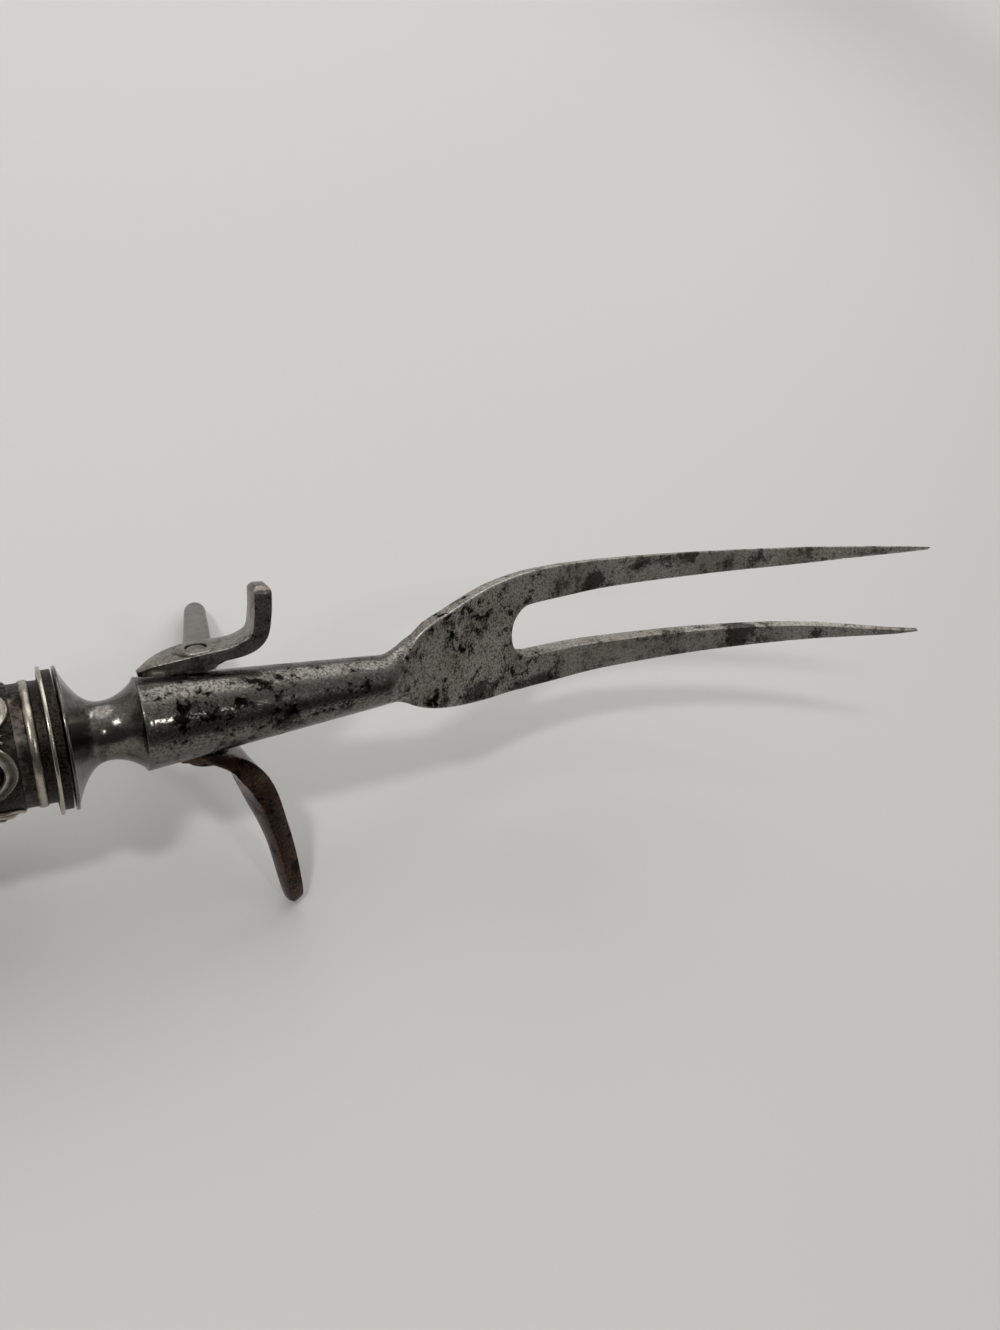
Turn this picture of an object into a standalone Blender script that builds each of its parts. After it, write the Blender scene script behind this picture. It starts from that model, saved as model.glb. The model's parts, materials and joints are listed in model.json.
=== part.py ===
"""Antique carving fork: forged steel head, folding guard with three arms, and pitch-filled silver handle.

Sizes are in millimetres in the fork's own frame: X runs from the handle's rim to the tines, Y across them
and Z out of the hollow face of the head. An empty lays that frame down on two guard arms and the butt.
"""

import math

import bmesh
import bpy
from mathutils import Matrix, Vector

MM = 0.001
GAP = 0.3
EDGE = 0.2
SHARP_ANGLE = math.radians(35)

# Sides of round pieces
SHANK_SIDES = 40
RING_SIDES = 48
CORE_SIDES = 32
EYE_SIDES = 24
RIVET_SIDES = 16

# Steps along curved outlines
FLARE_STEPS = 9
SHANK_STEPS = 9
NOSE_STEPS = 7
PADDLE_STEPS = 13
CROTCH_STEPS = 8
TINE_STEPS = 22
PRONG_EYE_STEPS = 19
PRONG_TIP_STEPS = 9
LEVER_STEPS = 18
FOOT_STEPS = 9
ARM_STEPS = 16
SHELL_STEPS = 15
BUTT_STEPS = 9
PIN_DOME_STEPS = 5

# Forging: flange, waist and tapered shank, all turned about X
FLANGE_R = 10.7
FLANGE_T = 0.5
RIM_W = 0.5
FLARE_POWER = 2.4
WAIST_L = 5.3
WAIST_R = 4.5
COLLAR_L = 4.8
STEP_R = 7.2
STEP_H = 0.4
SHANK_L = 39.5
NECK_R = 4.2
NECK_L = 4.6
NECK_END_R = 0.4
FLAT_Y = 6.45
FLAT_SETBACK = 0.4
TANG_L = 84.0
TANG_ROOT = (6.4, 5.0)
TANG_END = (3.6, 3.0)
TANG_LAP = 0.8

# Head: each pair is a share of the length from the head's root, or along the tine, and the size there
HEAD_LAP = 1.4
PADDLE_L = 28.2
CROTCH_L = 5.2
TINE_L = 93.8
FACE_BOW = ((0, 0.6), (0.05, -0.7), (0.1, -2.9), (0.215, -9.2), (0.33, -13.2), (0.435, -14.4), (0.62, -11.8),
            (0.8, -5.4), (0.96, 3.0), (1, 5.0))
HALF_WIDTH = ((0, 3.2), (0.034, 5.4), (0.064, 7.3), (0.1, 8.7), (0.16, 10.4), (0.205, 11.1), (0.26, 11.5),
              (0.32, 11.4), (0.435, 10.9), (0.62, 10.4), (0.8, 10.1), (0.96, 9.8), (1, 9.5))
THICKNESS = ((0, 3.6), (0.05, 4.0), (0.24, 4.0), (0.435, 3.5), (0.62, 2.8), (0.8, 2.1), (1, 0.5))
BACK_TAPER = 0.045
TINE_WIDTH = ((0, 6.0), (0.1, 5.8), (0.22, 5.1), (0.48, 3.9), (0.73, 2.5), (0.945, 0.7), (1, 0.15))

# Guard: a cross pin through the shank carries a back prong and one arm on each flat
PIN_SETBACK = 9.9
PIN_DEPTH = 2.5
PIN_R = 1.4
PIN_STAND = 0.2
PIN_DOME = 0.9
PIN_DOME_TURN = math.radians(77)
PRONG_L = 55.0
PRONG_LEAN = math.radians(10.6)
PRONG_T = 2.8
PRONG_ROOT_W = 6.0
PRONG_TIP_W = 4.2
PRONG_BOSS_R = 3.4
PRONG_SHOULDER = 2.2
PRONG_EDGE = 0.35
HEEL_REACH = 6.0
HEEL_T = 1.9
HEEL_L = 5.3
SLOT_ROOM = 0.4
SLOT_AHEAD = 17.0

# Arms: places are offsets along X from the pin and heights off the flat, and each pair is a share and a size
LEVER_EYE_R = 3.1
LEVER_EYE_H = 3.15
LEVER_EYE_EDGE = 0.5
LEVER_PATH = ((-9, 1.05), (-0.5, 2.25), (6, 2.65), (9.1, 4.15), (10.1, 7.45), (10.5, 12.15))
LEVER_THICK = ((0, 1.0), (0.1, 2.0), (0.5, 2.1), (0.65, 2.7), (1, 3.0))
LEVER_WIDTH = ((0, 0.8), (0.15, 4.4), (0.35, 6.4), (0.5, 5.8), (0.7, 4.8), (0.95, 4.6), (1, 3.2))
FOOT_PATH = ((-7.8, 0.75), (-0.5, 1.0), (5.4, 1.2))
FOOT_THICK = ((0, 0.7), (0.5, 1.3), (1, 1.7))
FOOT_WIDTH = ((0, 1.6), (0.3, 4.6), (0.6, 5.2), (1, 4.4))
ARM_EYE_R = 3.4
ARM_EYE_H = 2.2
ARM_EYE_EDGE = 0.4
ARM_PATH = ((-4.4, 1.2), (0, 1.2), (4.5, 3.8), (9, 16.05), (11.5, 31.55))
ARM_THICK = ((0, 1.4), (0.12, 1.8), (0.25, 3.0), (0.4, 3.9), (0.6, 3.8), (0.85, 3.6), (0.97, 2.8), (1, 1.6))
ARM_WIDTH = ((0, 3.6), (0.12, 7.6), (0.25, 6.4), (0.4, 4.2), (0.6, 3.2), (0.85, 2.7), (0.97, 2.3), (1, 1.4))
ARM_RISE = 2.0
RIBBON_CUT = 0.35

# Spring that holds the prong, pinned across the slot by a rivet
SPRING_T = 0.7
SPRING_BLOCK_L = 5.8
SPRING_BLOCK_T = 3.4
SPRING_TAPER = 1.5
RIVET_R = 0.9

# Silver handle, from the ferrule's lip back to the butt
LIP_R = 10.9
LIP_T = 0.55
LIP_GROOVE_L = 1.25
LIP_GROOVE_DEPTH = 0.6
LIP_EDGE = 0.15
BAND_R = 9.0
BAND_L = 3.9
BEAD_R = 0.7
BEAD_SETBACK = 2.0
BEAD_SINK = 1.35
BEAD_SIDES = 10
FERRULE_WALL = 0.9
SLEEVE_L = 6.6
SHELL_T = 0.8
SHELL_L = 100.2
SHELL_R = ((0, 9.5), (0.14, 10.6), (0.4, 11.7), (0.7, 10.7), (0.92, 11.5), (1, 12.2))
SHELL_SIDES = 21
SEAM = 0.4
BUTT_LIP = 0.7
BUTT_L = 9.7
BUTT_FLAT_R = 5.0
BUTT_T = 1.2
BUTT_BAND = 1.6
BUTT_EDGE = 0.5

# Laying down: first guess at the way up, and how many times it is mended
FIRST_UP = Vector((0, 0.8, 0.6))
REST_ROUNDS = 8

# Places along X and sizes that follow from the ones above
STEP_X = WAIST_L + COLLAR_L
NECK_X = STEP_X + SHANK_L
HEAD_X = NECK_X + HEAD_LAP
CROTCH_X = HEAD_X + PADDLE_L
TIP_X = CROTCH_X + TINE_L
PIN_X = STEP_X + PIN_SETBACK
PIN_Z = -PIN_DEPTH
SPRING_LOW = PIN_Z + PRONG_BOSS_R + GAP
SPRING_TOP = SPRING_LOW + SPRING_T
SLOT_Z = SPRING_TOP + GAP
SLOT_BACK_X = PIN_X - PRONG_BOSS_R - SLOT_ROOM
SLOT_FRONT_X = PIN_X + SLOT_AHEAD
RIVET_X = SLOT_FRONT_X - SLOT_ROOM - SPRING_BLOCK_L / 2
RIVET_Z = SPRING_TOP - SPRING_BLOCK_T / 2
SILVER_X = -FLANGE_T - GAP
LIP_X = SILVER_X - LIP_GROOVE_L
BAND_X = LIP_X - LIP_T
BAND_BACK_X = BAND_X - BAND_L
BEAD_X = BAND_X - BEAD_SETBACK
BEAD_SEAT_R = BAND_R - BEAD_SINK
BORE_R = BEAD_SEAT_R - FERRULE_WALL
SLEEVE_X = BAND_BACK_X - SLEEVE_L
SHELL_X = BAND_BACK_X - GAP
SHELL_BACK_X = SHELL_X - SHELL_L
BUTT_RIM_X = SHELL_BACK_X - GAP
BUTT_X = BUTT_RIM_X - BUTT_L
BUTT_R = SHELL_R[-1][1] + BUTT_LIP


def through(points, x):
    """Smooth curve through hand-chosen points, read at x."""
    xs = [p[0] for p in points]
    ys = [p[1] for p in points]
    last = len(points) - 1
    slopes = []
    for i in range(len(points)):
        a, b = max(i - 1, 0), min(i + 1, last)
        slopes.append((ys[b] - ys[a]) / (xs[b] - xs[a]))
    i = max(0, min(last - 1, sum(1 for v in xs if v <= x) - 1))
    step = xs[i + 1] - xs[i]
    t = min(max((x - xs[i]) / step, 0.0), 1.0)
    return ((2 * t**3 - 3 * t**2 + 1) * ys[i] + (t**3 - 2 * t**2 + t) * step * slopes[i]
            + (3 * t**2 - 2 * t**3) * ys[i + 1] + (t**3 - t**2) * step * slopes[i + 1])


def spaced(first, last, count):
    return [first + (last - first) * i / (count - 1) for i in range(count)]


def smooth_path(points, count):
    """Even steps along a smooth curve through a few points of a plane."""
    lengths = [0.0]
    for a, b in zip(points, points[1:]):
        lengths.append(lengths[-1] + math.dist(a, b))
    columns = [list(zip(lengths, values)) for values in zip(*points)]
    return [tuple(through(column, s) for column in columns) for s in spaced(0, lengths[-1], count)]


def material(name, colour, roughness, metallic=1.0):
    made = bpy.data.materials.new(name)
    made.use_nodes = True
    shader = made.node_tree.nodes["Principled BSDF"]
    shader.inputs["Base Color"].default_value = (*colour, 1.0)
    shader.inputs["Roughness"].default_value = roughness
    shader.inputs["Metallic"].default_value = metallic
    made.diffuse_color = (*colour, 1.0)
    return made


def add_object(name, bm, look):
    """Object from a bmesh drawn in millimetres, smooth except at its sharp edges."""
    bmesh.ops.recalc_face_normals(bm, faces=bm.faces)
    bmesh.ops.scale(bm, vec=(MM, MM, MM), verts=bm.verts)
    mesh = bpy.data.meshes.new(name)
    bm.to_mesh(mesh)
    bm.free()
    mesh.shade_smooth()
    mesh.set_sharp_from_angle(angle=SHARP_ANGLE)
    if look:
        mesh.materials.append(look)
    obj = bpy.data.objects.new(name, mesh)
    bpy.context.scene.collection.objects.link(obj)
    return obj


def loft(name, rings, look=None, ring_round=False):
    """Closed solid through equal rings of points, capped at both ends or run round into a ring."""
    bm = bmesh.new()
    loops = [[bm.verts.new(p) for p in ring] for ring in rings]
    follow = loops[1:] + loops[:1] if ring_round else loops[1:]
    for near, far in zip(loops, follow):
        for i in range(len(near)):
            j = (i + 1) % len(near)
            bm.faces.new((near[i], near[j], far[j], far[i]))
    if not ring_round:
        bm.faces.new(loops[0])
        bm.faces.new(loops[-1])
    return add_object(name, bm, look)


def rod(name, stations, sides, look=None):
    """Solid turned about X: stations are pairs of place along X and radius."""
    turns = [2 * math.pi * i / sides for i in range(sides)]
    return loft(name, [[(x, r * math.cos(a), r * math.sin(a)) for a in turns] for x, r in stations], look)


def cross_rod(name, stations, sides, x, z, look=None):
    """Solid turned about a line along Y through x and z: stations are pairs of place along Y and radius."""
    turns = [2 * math.pi * i / sides for i in range(sides)]
    rings = [[(x + r * math.cos(a), y, z + r * math.sin(a)) for a in turns] for y, r in stations]
    return loft(name, rings, look)


def turned_wall(name, profile, angles, look, ring_round):
    """Hollow turned solid from a closed profile of places along X and radii, at each of the angles."""
    rings = [[(x, r * math.cos(a), r * math.sin(a)) for x, r in profile] for a in angles]
    return loft(name, rings, look, ring_round)


def ring(name, profile, look):
    angles = [2 * math.pi * i / RING_SIDES for i in range(RING_SIDES)]
    return turned_wall(name, profile, angles, look, ring_round=True)


def box(name, low, high):
    """Plain block between two corners."""
    corners = [[(x, low[1], low[2]), (x, high[1], low[2]), (x, high[1], high[2]), (x, low[1], high[2])]
               for x in (low[0], high[0])]
    return loft(name, corners)


def combine(obj, helper, operation):
    """Boolean with a hidden helper object."""
    helper.hide_render = True
    helper.display_type = "WIRE"
    modifier = obj.modifiers.new(f"{operation.lower()} {helper.name}", "BOOLEAN")
    modifier.operation = operation
    modifier.solver = "EXACT"
    modifier.object = helper


def drill(obj, radius, sides, x, z):
    """Clearance hole for a pin along Y, right through the object."""
    reach = 2 * FLANGE_R
    bore = radius + GAP
    hole = cross_rod(f"{obj.name}_hole_{radius}", ((-reach, bore), (reach, bore)), sides, x, z)
    combine(obj, hole, "DIFFERENCE")


def ribbon(name, path, thick, width, rise, look):
    """Arm along a path in the XY plane, at the pin's height and rising over its first half.

    Its sections are thick across the path in that plane and wide along Z, with cut corners.
    """
    rings = []
    for i, (x, y) in enumerate(path):
        a, b = path[max(i - 1, 0)], path[min(i + 1, len(path) - 1)]
        along = Vector((b[0] - a[0], b[1] - a[1], 0)).normalized()
        across = Vector((-along.y, along.x, 0))
        t = i / (len(path) - 1)
        h, w = through(thick, t) / 2, through(width, t) / 2
        cut = RIBBON_CUT * min(h, w)
        corners = [(h, w - cut), (h - cut, w), (cut - h, w), (-h, w - cut),
                   (-h, cut - w), (cut - h, -w), (h - cut, -w), (h, cut - w)]
        z = PIN_Z + rise * min(1.0, 2 * t)
        rings.append([Vector((x, y, z + v)) + across * u for u, v in corners])
    return loft(name, rings, look)


def shank_radius(x):
    """Radius of the straight taper from the step to the neck."""
    return STEP_R + (NECK_R - STEP_R) * (x - STEP_X) / SHANK_L


def shank_stations():
    """Turned outline of the forging from the flange's back to the end of the neck."""
    cut = FLANGE_R - EDGE
    stations = [(-FLANGE_T, cut), (EDGE - FLANGE_T, FLANGE_R), (-EDGE, FLANGE_R), (0.0, cut)]
    flare = FLANGE_R - RIM_W - WAIST_R
    for x in spaced(0.0, WAIST_L, FLARE_STEPS):
        stations.append((x, WAIST_R + flare * (1 - x / WAIST_L) ** FLARE_POWER))
    rise = STEP_R - STEP_H - WAIST_R
    for x in spaced(WAIST_L, STEP_X - EDGE, FLARE_STEPS)[1:]:
        stations.append((x, WAIST_R + rise * ((x - WAIST_L) / COLLAR_L) ** 2))
    stations.append((STEP_X, STEP_R - EDGE))
    for x in spaced(STEP_X + EDGE, NECK_X, SHANK_STEPS):
        stations.append((x, shank_radius(x)))
    for a in spaced(0, math.pi / 2, NOSE_STEPS)[1:]:
        radius = NECK_END_R + (NECK_R - NECK_END_R) * math.cos(a)
        stations.append((NECK_X + NECK_L * math.sin(a), radius))
    return stations


def along_head(points, x):
    return through(points, (x - HEAD_X) / (TIP_X - HEAD_X))


def half_split(x):
    """Half the gap between the tines: a round crotch, and then what the tines' widths leave."""
    round_end = CROTCH_X + CROTCH_L
    tine = through(TINE_WIDTH, (x - round_end) / (TIP_X - round_end))
    closing = min(1.0, max(0.0, (round_end - x) / CROTCH_L))
    return (along_head(HALF_WIDTH, x) - tine) * math.sqrt(1 - closing**2)


def head_solid():
    """Paddle and both tines: front and back skins across matched stations, with walls along their edges."""
    bm = bmesh.new()

    def pair(x, y):
        z = along_head(FACE_BOW, x)
        back = (x, y * (1 - BACK_TAPER), z - along_head(THICKNESS, x))
        return bm.verts.new((x, y, z)), bm.verts.new(back)

    def skin(near, far):
        """Front and back quads between two stations, each a row of front and back points."""
        for (a, b), (c, d) in zip(zip(near, near[1:]), zip(far, far[1:])):
            bm.faces.new((a[0], b[0], d[0], c[0]))
            bm.faces.new((a[1], c[1], d[1], b[1]))

    def wall(a, b):
        bm.faces.new((a[0], b[0], b[1], a[1]))

    rows = [[pair(x, side * along_head(HALF_WIDTH, x)) for side in (-1, 0, 1)]
            for x in spaced(HEAD_X, CROTCH_X, PADDLE_STEPS)]
    for near, far in zip(rows, rows[1:]):
        skin(near, far)
        wall(near[0], far[0])
        wall(near[2], far[2])
    for a, b in zip(rows[0], rows[0][1:]):
        wall(a, b)
    turns = spaced(0, math.pi / 2, CROTCH_STEPS)[1:]
    stations = [CROTCH_X + CROTCH_L * (1 - math.cos(a)) for a in turns]
    stations += spaced(CROTCH_X + CROTCH_L, TIP_X, TINE_STEPS)[1:]
    for side, outer in ((-1, rows[-1][0]), (1, rows[-1][2])):
        near = [rows[-1][1], outer]
        for x in stations:
            far = [pair(x, side * half_split(x)), pair(x, side * along_head(HALF_WIDTH, x))]
            skin(near, far)
            wall(near[0], far[0])
            wall(near[1], far[1])
            near = far
        wall(near[0], near[1])
    return add_object("head_slab", bm, None)


def tang_rings(start, room):
    """Square taper from the flange back into the handle, or a bore with some room round it."""
    ends = ((start, TANG_ROOT), (-TANG_L - room, TANG_END))
    return [[(x, sy * (w / 2 + room), sz * (h / 2 + room)) for sy, sz in ((-1, -1), (1, -1), (1, 1), (-1, 1))]
            for x, (w, h) in ends]


def make_fork_head(look):
    """Forging with its tang: turned shank and bowed head in one, with flats, slot and holes for the guard."""
    fork = rod("fork_head", shank_stations(), SHANK_SIDES, look)
    combine(fork, head_solid(), "UNION")
    combine(fork, loft("tang", tang_rings(TANG_LAP - FLANGE_T, 0)), "UNION")
    clear = FLANGE_R
    for side in (-1, 1):
        near, far = sorted((side * FLAT_Y, side * 2 * FLAT_Y))
        flat = box(f"flat_cutter_{side}", (STEP_X + FLAT_SETBACK, near, -clear), (NECK_X, far, clear))
        combine(fork, flat, "DIFFERENCE")
    half = PRONG_T / 2 + GAP
    slot = box("slot_cutter", (SLOT_BACK_X, -half, -clear), (SLOT_FRONT_X, half, SLOT_Z))
    combine(fork, slot, "DIFFERENCE")
    drill(fork, PIN_R, EYE_SIDES, PIN_X, PIN_Z)
    drill(fork, RIVET_R, RIVET_SIDES, RIVET_X, RIVET_Z)


def prong_outline():
    """Prong from the side, from its eye out: round eye, heel, taper and rounded end."""
    tip_r = PRONG_TIP_W / 2
    shank = shank_radius(PIN_X - HEEL_REACH) + GAP
    heel = (shank - PIN_DEPTH - HEEL_REACH * math.sin(PRONG_LEAN)) / math.cos(PRONG_LEAN)
    outline = [(PRONG_BOSS_R * math.cos(a), PRONG_BOSS_R * math.sin(a))
               for a in spaced(0.25 * math.pi, 1.75 * math.pi, PRONG_EYE_STEPS)]
    outline += [(heel, -PRONG_ROOT_W / 2), (heel, -HEEL_REACH), (heel + HEEL_T, -HEEL_REACH),
                (heel + HEEL_L, -PRONG_ROOT_W / 2)]
    outline += [(PRONG_L - tip_r + tip_r * math.cos(a), tip_r * math.sin(a))
                for a in spaced(-math.pi / 2, math.pi / 2, PRONG_TIP_STEPS)]
    outline.append((PRONG_BOSS_R + PRONG_SHOULDER, PRONG_ROOT_W / 2))
    return outline


def make_guard_prong(look):
    """Long back prong in the slot, with a heel that stops on the shank when it is open."""
    heading = Vector((math.sin(PRONG_LEAN), -math.cos(PRONG_LEAN)))
    side = Vector((math.cos(PRONG_LEAN), math.sin(PRONG_LEAN)))
    tip = PRONG_L - PRONG_TIP_W / 2
    half = PRONG_T / 2
    rings = []
    for y, inset in ((-half, PRONG_EDGE), (PRONG_EDGE - half, 0), (half - PRONG_EDGE, 0), (half, PRONG_EDGE)):
        points = [heading * (u - inset * (u > tip)) + side * (v - math.copysign(min(inset, abs(v)), v))
                  for u, v in prong_outline()]
        rings.append([(PIN_X + p.x, y, PIN_Z + p.y) for p in points])
    prong = loft("guard_prong", rings, look)
    drill(prong, PIN_R, EYE_SIDES, PIN_X, PIN_Z)
    return prong


def off_flat(side, path, steps):
    """Places along an arm from its offsets along X and its heights off one of the flats."""
    return [(PIN_X + x, side * (FLAT_Y + height)) for x, height in smooth_path(path, steps)]


def arm_on_flat(name, side, path, steps, thick, width, rise, eye, look):
    """Arm that lies off one of the shank's flats, with an eye on the flat for the pin."""
    arm = ribbon(name, off_flat(side, path, steps), thick, width, rise, look)
    radius, height, edge = eye
    seat = FLAT_Y + GAP
    top = seat + height
    stations = ((side * seat, radius), (side * (top - edge), radius), (side * top, radius - edge))
    combine(arm, cross_rod(f"{name}_eye", stations, EYE_SIDES, PIN_X, PIN_Z), "UNION")
    return arm


def make_thumb_lever(look):
    """Leaf-shaped lever on the upper flat, with a foot under the leaf and its end bent out as a finger."""
    eye = (LEVER_EYE_R, LEVER_EYE_H, LEVER_EYE_EDGE)
    lever = arm_on_flat("thumb_lever", 1, LEVER_PATH, LEVER_STEPS, LEVER_THICK, LEVER_WIDTH, 0.0, eye, look)
    foot = ribbon("lever_foot", off_flat(1, FOOT_PATH, FOOT_STEPS), FOOT_THICK, FOOT_WIDTH, 0.0, None)
    combine(lever, foot, "UNION")
    drill(lever, PIN_R, EYE_SIDES, PIN_X, PIN_Z)
    return lever


def make_side_arm(look):
    """Curved horn on the lower flat, thin at its eye and deeper where it leaves the shank."""
    eye = (ARM_EYE_R, ARM_EYE_H, ARM_EYE_EDGE)
    arm = arm_on_flat("side_arm", -1, ARM_PATH, ARM_STEPS, ARM_THICK, ARM_WIDTH, ARM_RISE, eye, look)
    drill(arm, PIN_R, EYE_SIDES, PIN_X, PIN_Z)
    return arm


def make_cross_pin(look):
    """Pin through shank, prong and both arms, hammered to a dome at each end."""
    seat = FLAT_Y + GAP + PIN_STAND
    turns = spaced(0, PIN_DOME_TURN, PIN_DOME_STEPS)
    dome = [(PIN_DOME * (1 - math.sin(a)), PIN_R * math.cos(a)) for a in turns]
    stations = [(-seat - ARM_EYE_H + depth, r) for depth, r in reversed(dome)]
    stations += [(seat + LEVER_EYE_H - depth, r) for depth, r in dome]
    return cross_rod("cross_pin", stations, EYE_SIDES, PIN_X, PIN_Z, look)


def make_guard_spring(look):
    """Flat spring along the slot's floor, with a thick end that the rivet holds."""
    back, front = SLOT_BACK_X + SLOT_ROOM, SLOT_FRONT_X - SLOT_ROOM
    block_x, block_low = front - SPRING_BLOCK_L, SPRING_TOP - SPRING_BLOCK_T
    side = [(back, SPRING_TOP), (front, SPRING_TOP), (front, block_low), (block_x, block_low),
            (block_x - SPRING_TAPER, SPRING_LOW), (back, SPRING_LOW)]
    spring = loft("guard_spring", [[(x, y, z) for x, z in side] for y in (-PRONG_T / 2, PRONG_T / 2)], look)
    drill(spring, RIVET_R, RIVET_SIDES, RIVET_X, RIVET_Z)


def make_spring_rivet(look):
    """Rivet across the slot, flush with the shank's sides."""
    end = math.sqrt(min(shank_radius(RIVET_X), FLAT_Y) ** 2 - RIVET_Z**2) - GAP
    stations = ((-end, RIVET_R - EDGE), (EDGE - end, RIVET_R), (end - EDGE, RIVET_R), (end, RIVET_R - EDGE))
    cross_rod("spring_rivet", stations, RIVET_SIDES, RIVET_X, RIVET_Z, look)


def make_ferrule(look):
    """Silver collar: lip behind the flange, band with a seat for the bead ring, and sleeve in the shell."""
    groove_r = LIP_R - LIP_GROOVE_DEPTH
    sleeve_r = SHELL_R[0][1] - SHELL_T - GAP
    seat = BEAD_R + GAP
    ring("ferrule", [
        (SILVER_X, groove_r), (LIP_X, groove_r), (LIP_X - LIP_EDGE, LIP_R), (BAND_X + LIP_EDGE, LIP_R),
        (BAND_X, BAND_R), (BEAD_X + seat, BAND_R), (BEAD_X + seat, BEAD_SEAT_R), (BEAD_X - seat, BEAD_SEAT_R),
        (BEAD_X - seat, BAND_R), (BAND_BACK_X, BAND_R), (BAND_BACK_X, sleeve_r), (SLEEVE_X, sleeve_r),
        (SLEEVE_X, BORE_R), (SILVER_X, BORE_R)], look)


def make_bead_ring(look):
    """Round silver wire seated on the ferrule's band."""
    centre_r = BEAD_SEAT_R + GAP + BEAD_R
    turns = [2 * math.pi * i / BEAD_SIDES for i in range(BEAD_SIDES)]
    ring("bead_ring", [(BEAD_X + BEAD_R * math.cos(a), centre_r + BEAD_R * math.sin(a)) for a in turns], look)


def shell_outline(inset, first, count):
    """Handle's outline, or one inside it by the inset, from its butt end forward to the place given."""
    return [(x, through(SHELL_R, (SHELL_X - x) / SHELL_L) - inset)
            for x in spaced(SHELL_BACK_X, first, count)]


def make_handle_shells(look):
    """Two stamped silver halves that meet along the handle's sides."""
    profile = shell_outline(0, SHELL_X, SHELL_STEPS) + shell_outline(SHELL_T, SHELL_X, SHELL_STEPS)[::-1]
    seam = SEAM / 2 / SHELL_R[0][1]
    for name, start in (("handle_shell_front", 0.0), ("handle_shell_back", math.pi)):
        angles = spaced(start + seam, start + math.pi - seam, SHELL_SIDES)
        turned_wall(name, profile, angles, look, ring_round=False)


def butt_dome(inset):
    """Outline of the domed butt, or of one that lies inside it by the inset."""
    end, rim = BUTT_X + inset, BUTT_RIM_X - BUTT_BAND
    radius = BUTT_R - inset
    return [(end + (rim - end) * (1 - math.cos(a)), BUTT_FLAT_R + (radius - BUTT_FLAT_R) * math.sin(a))
            for a in spaced(0, math.pi / 2, BUTT_STEPS)]


def make_butt_cap(look):
    """Hollow domed silver cap with a small flat end."""
    rim = [(BUTT_RIM_X - BUTT_EDGE, BUTT_R), (BUTT_RIM_X, BUTT_R - BUTT_EDGE)]
    cap = rod("butt_cap", butt_dome(0) + rim, RING_SIDES, look)
    hollow = butt_dome(BUTT_T) + [(SHELL_BACK_X, BUTT_R - BUTT_T)]
    combine(cap, rod("butt_hollow", hollow, RING_SIDES), "DIFFERENCE")
    return cap


def make_pitch_core(look):
    """Hardened pitch that fills the handle and grips the tang."""
    shoulder, throat = SLEEVE_X - GAP, BORE_R - GAP
    stations = butt_dome(BUTT_T + GAP) + shell_outline(SHELL_T + GAP, shoulder, SHELL_STEPS)
    stations += [(shoulder, throat), (SILVER_X, throat)]
    core = rod("pitch_core", stations, CORE_SIDES, look)
    combine(core, loft("tang_bore", tang_rings(TANG_LAP, GAP)), "DIFFERENCE")


def rest_frame(prong, arm, butt):
    """Turn that lays the fork down on the lowest points of its prong, its side arm and its butt."""
    up = FIRST_UP
    for _ in range(REST_ROUNDS):
        a, b, c = (min((v.co for v in obj.data.vertices), key=up.dot) for obj in (prong, arm, butt))
        up = (b - c).cross(a - c).normalized()
        up = up if up.y > 0 else -up
    ahead = (Vector((1, 0, 0)) - up * up.x).normalized()
    left = up.cross(ahead)
    return Matrix((ahead, left, up)).to_4x4()


def add_empty(name, parent=None, place=(0, 0, 0)):
    empty = bpy.data.objects.new(name, None)
    empty.empty_display_size = FLANGE_R * MM
    bpy.context.scene.collection.objects.link(empty)
    empty.parent = parent
    empty.location = Vector(place) * MM
    return empty


def stand_on_floor(root):
    """Moves the frame so that the lowest point is at height 0 and the box is centred on the origin."""
    bpy.context.view_layer.update()
    graph = bpy.context.evaluated_depsgraph_get()
    points = []
    for obj in bpy.context.scene.objects:
        if obj.type == "MESH" and not obj.hide_render:
            shape = obj.evaluated_get(graph)
            points += [shape.matrix_world @ v.co for v in shape.data.vertices]
    low = Vector(min(p[i] for p in points) for i in range(3))
    high = Vector(max(p[i] for p in points) for i in range(3))
    root.location = Vector((-(low.x + high.x) / 2, -(low.y + high.y) / 2, -low.z))


def main():
    for obj in list(bpy.data.objects):
        bpy.data.objects.remove(obj, do_unlink=True)
    steel = material("aged_steel", (0.30, 0.29, 0.28), 0.38)
    rusty = material("rusted_steel", (0.13, 0.10, 0.085), 0.55)
    silver = material("old_silver", (0.62, 0.60, 0.56), 0.28)
    pitch = material("pitch", (0.03, 0.022, 0.018), 0.8, 0.0)

    make_fork_head(steel)
    make_guard_spring(steel)
    make_spring_rivet(steel)
    make_ferrule(silver)
    make_bead_ring(silver)
    make_handle_shells(silver)
    make_pitch_core(pitch)
    butt = make_butt_cap(silver)
    prong = make_guard_prong(steel)
    arm = make_side_arm(rusty)
    moving = [prong, arm, make_thumb_lever(steel), make_cross_pin(steel)]
    at_rest = rest_frame(prong, arm, butt)

    root = add_empty("fork_frame")
    pin_place = Vector((PIN_X, 0, PIN_Z))
    guard = add_empty("guard_axis", root, pin_place)
    for obj in bpy.context.scene.objects:
        if obj.type == "MESH" and obj not in moving:
            obj.parent = root
    for obj in moving:
        obj.data.transform(Matrix.Translation(-pin_place * MM))
        obj.parent = guard
    root.matrix_world = at_rest
    stand_on_floor(root)


main()
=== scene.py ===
"""Antique carving fork with a folding guard and a scrolled silver handle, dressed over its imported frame.

Sizes are in millimetres in the fork's own frame, as in the part's source: X runs from the handle's rim to the
tines, Y across them and Z out of the hollow face. Each piece is drawn there and then laid down in the row
frame.
"""

import json
import math
from math import cos, pi, sin

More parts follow.
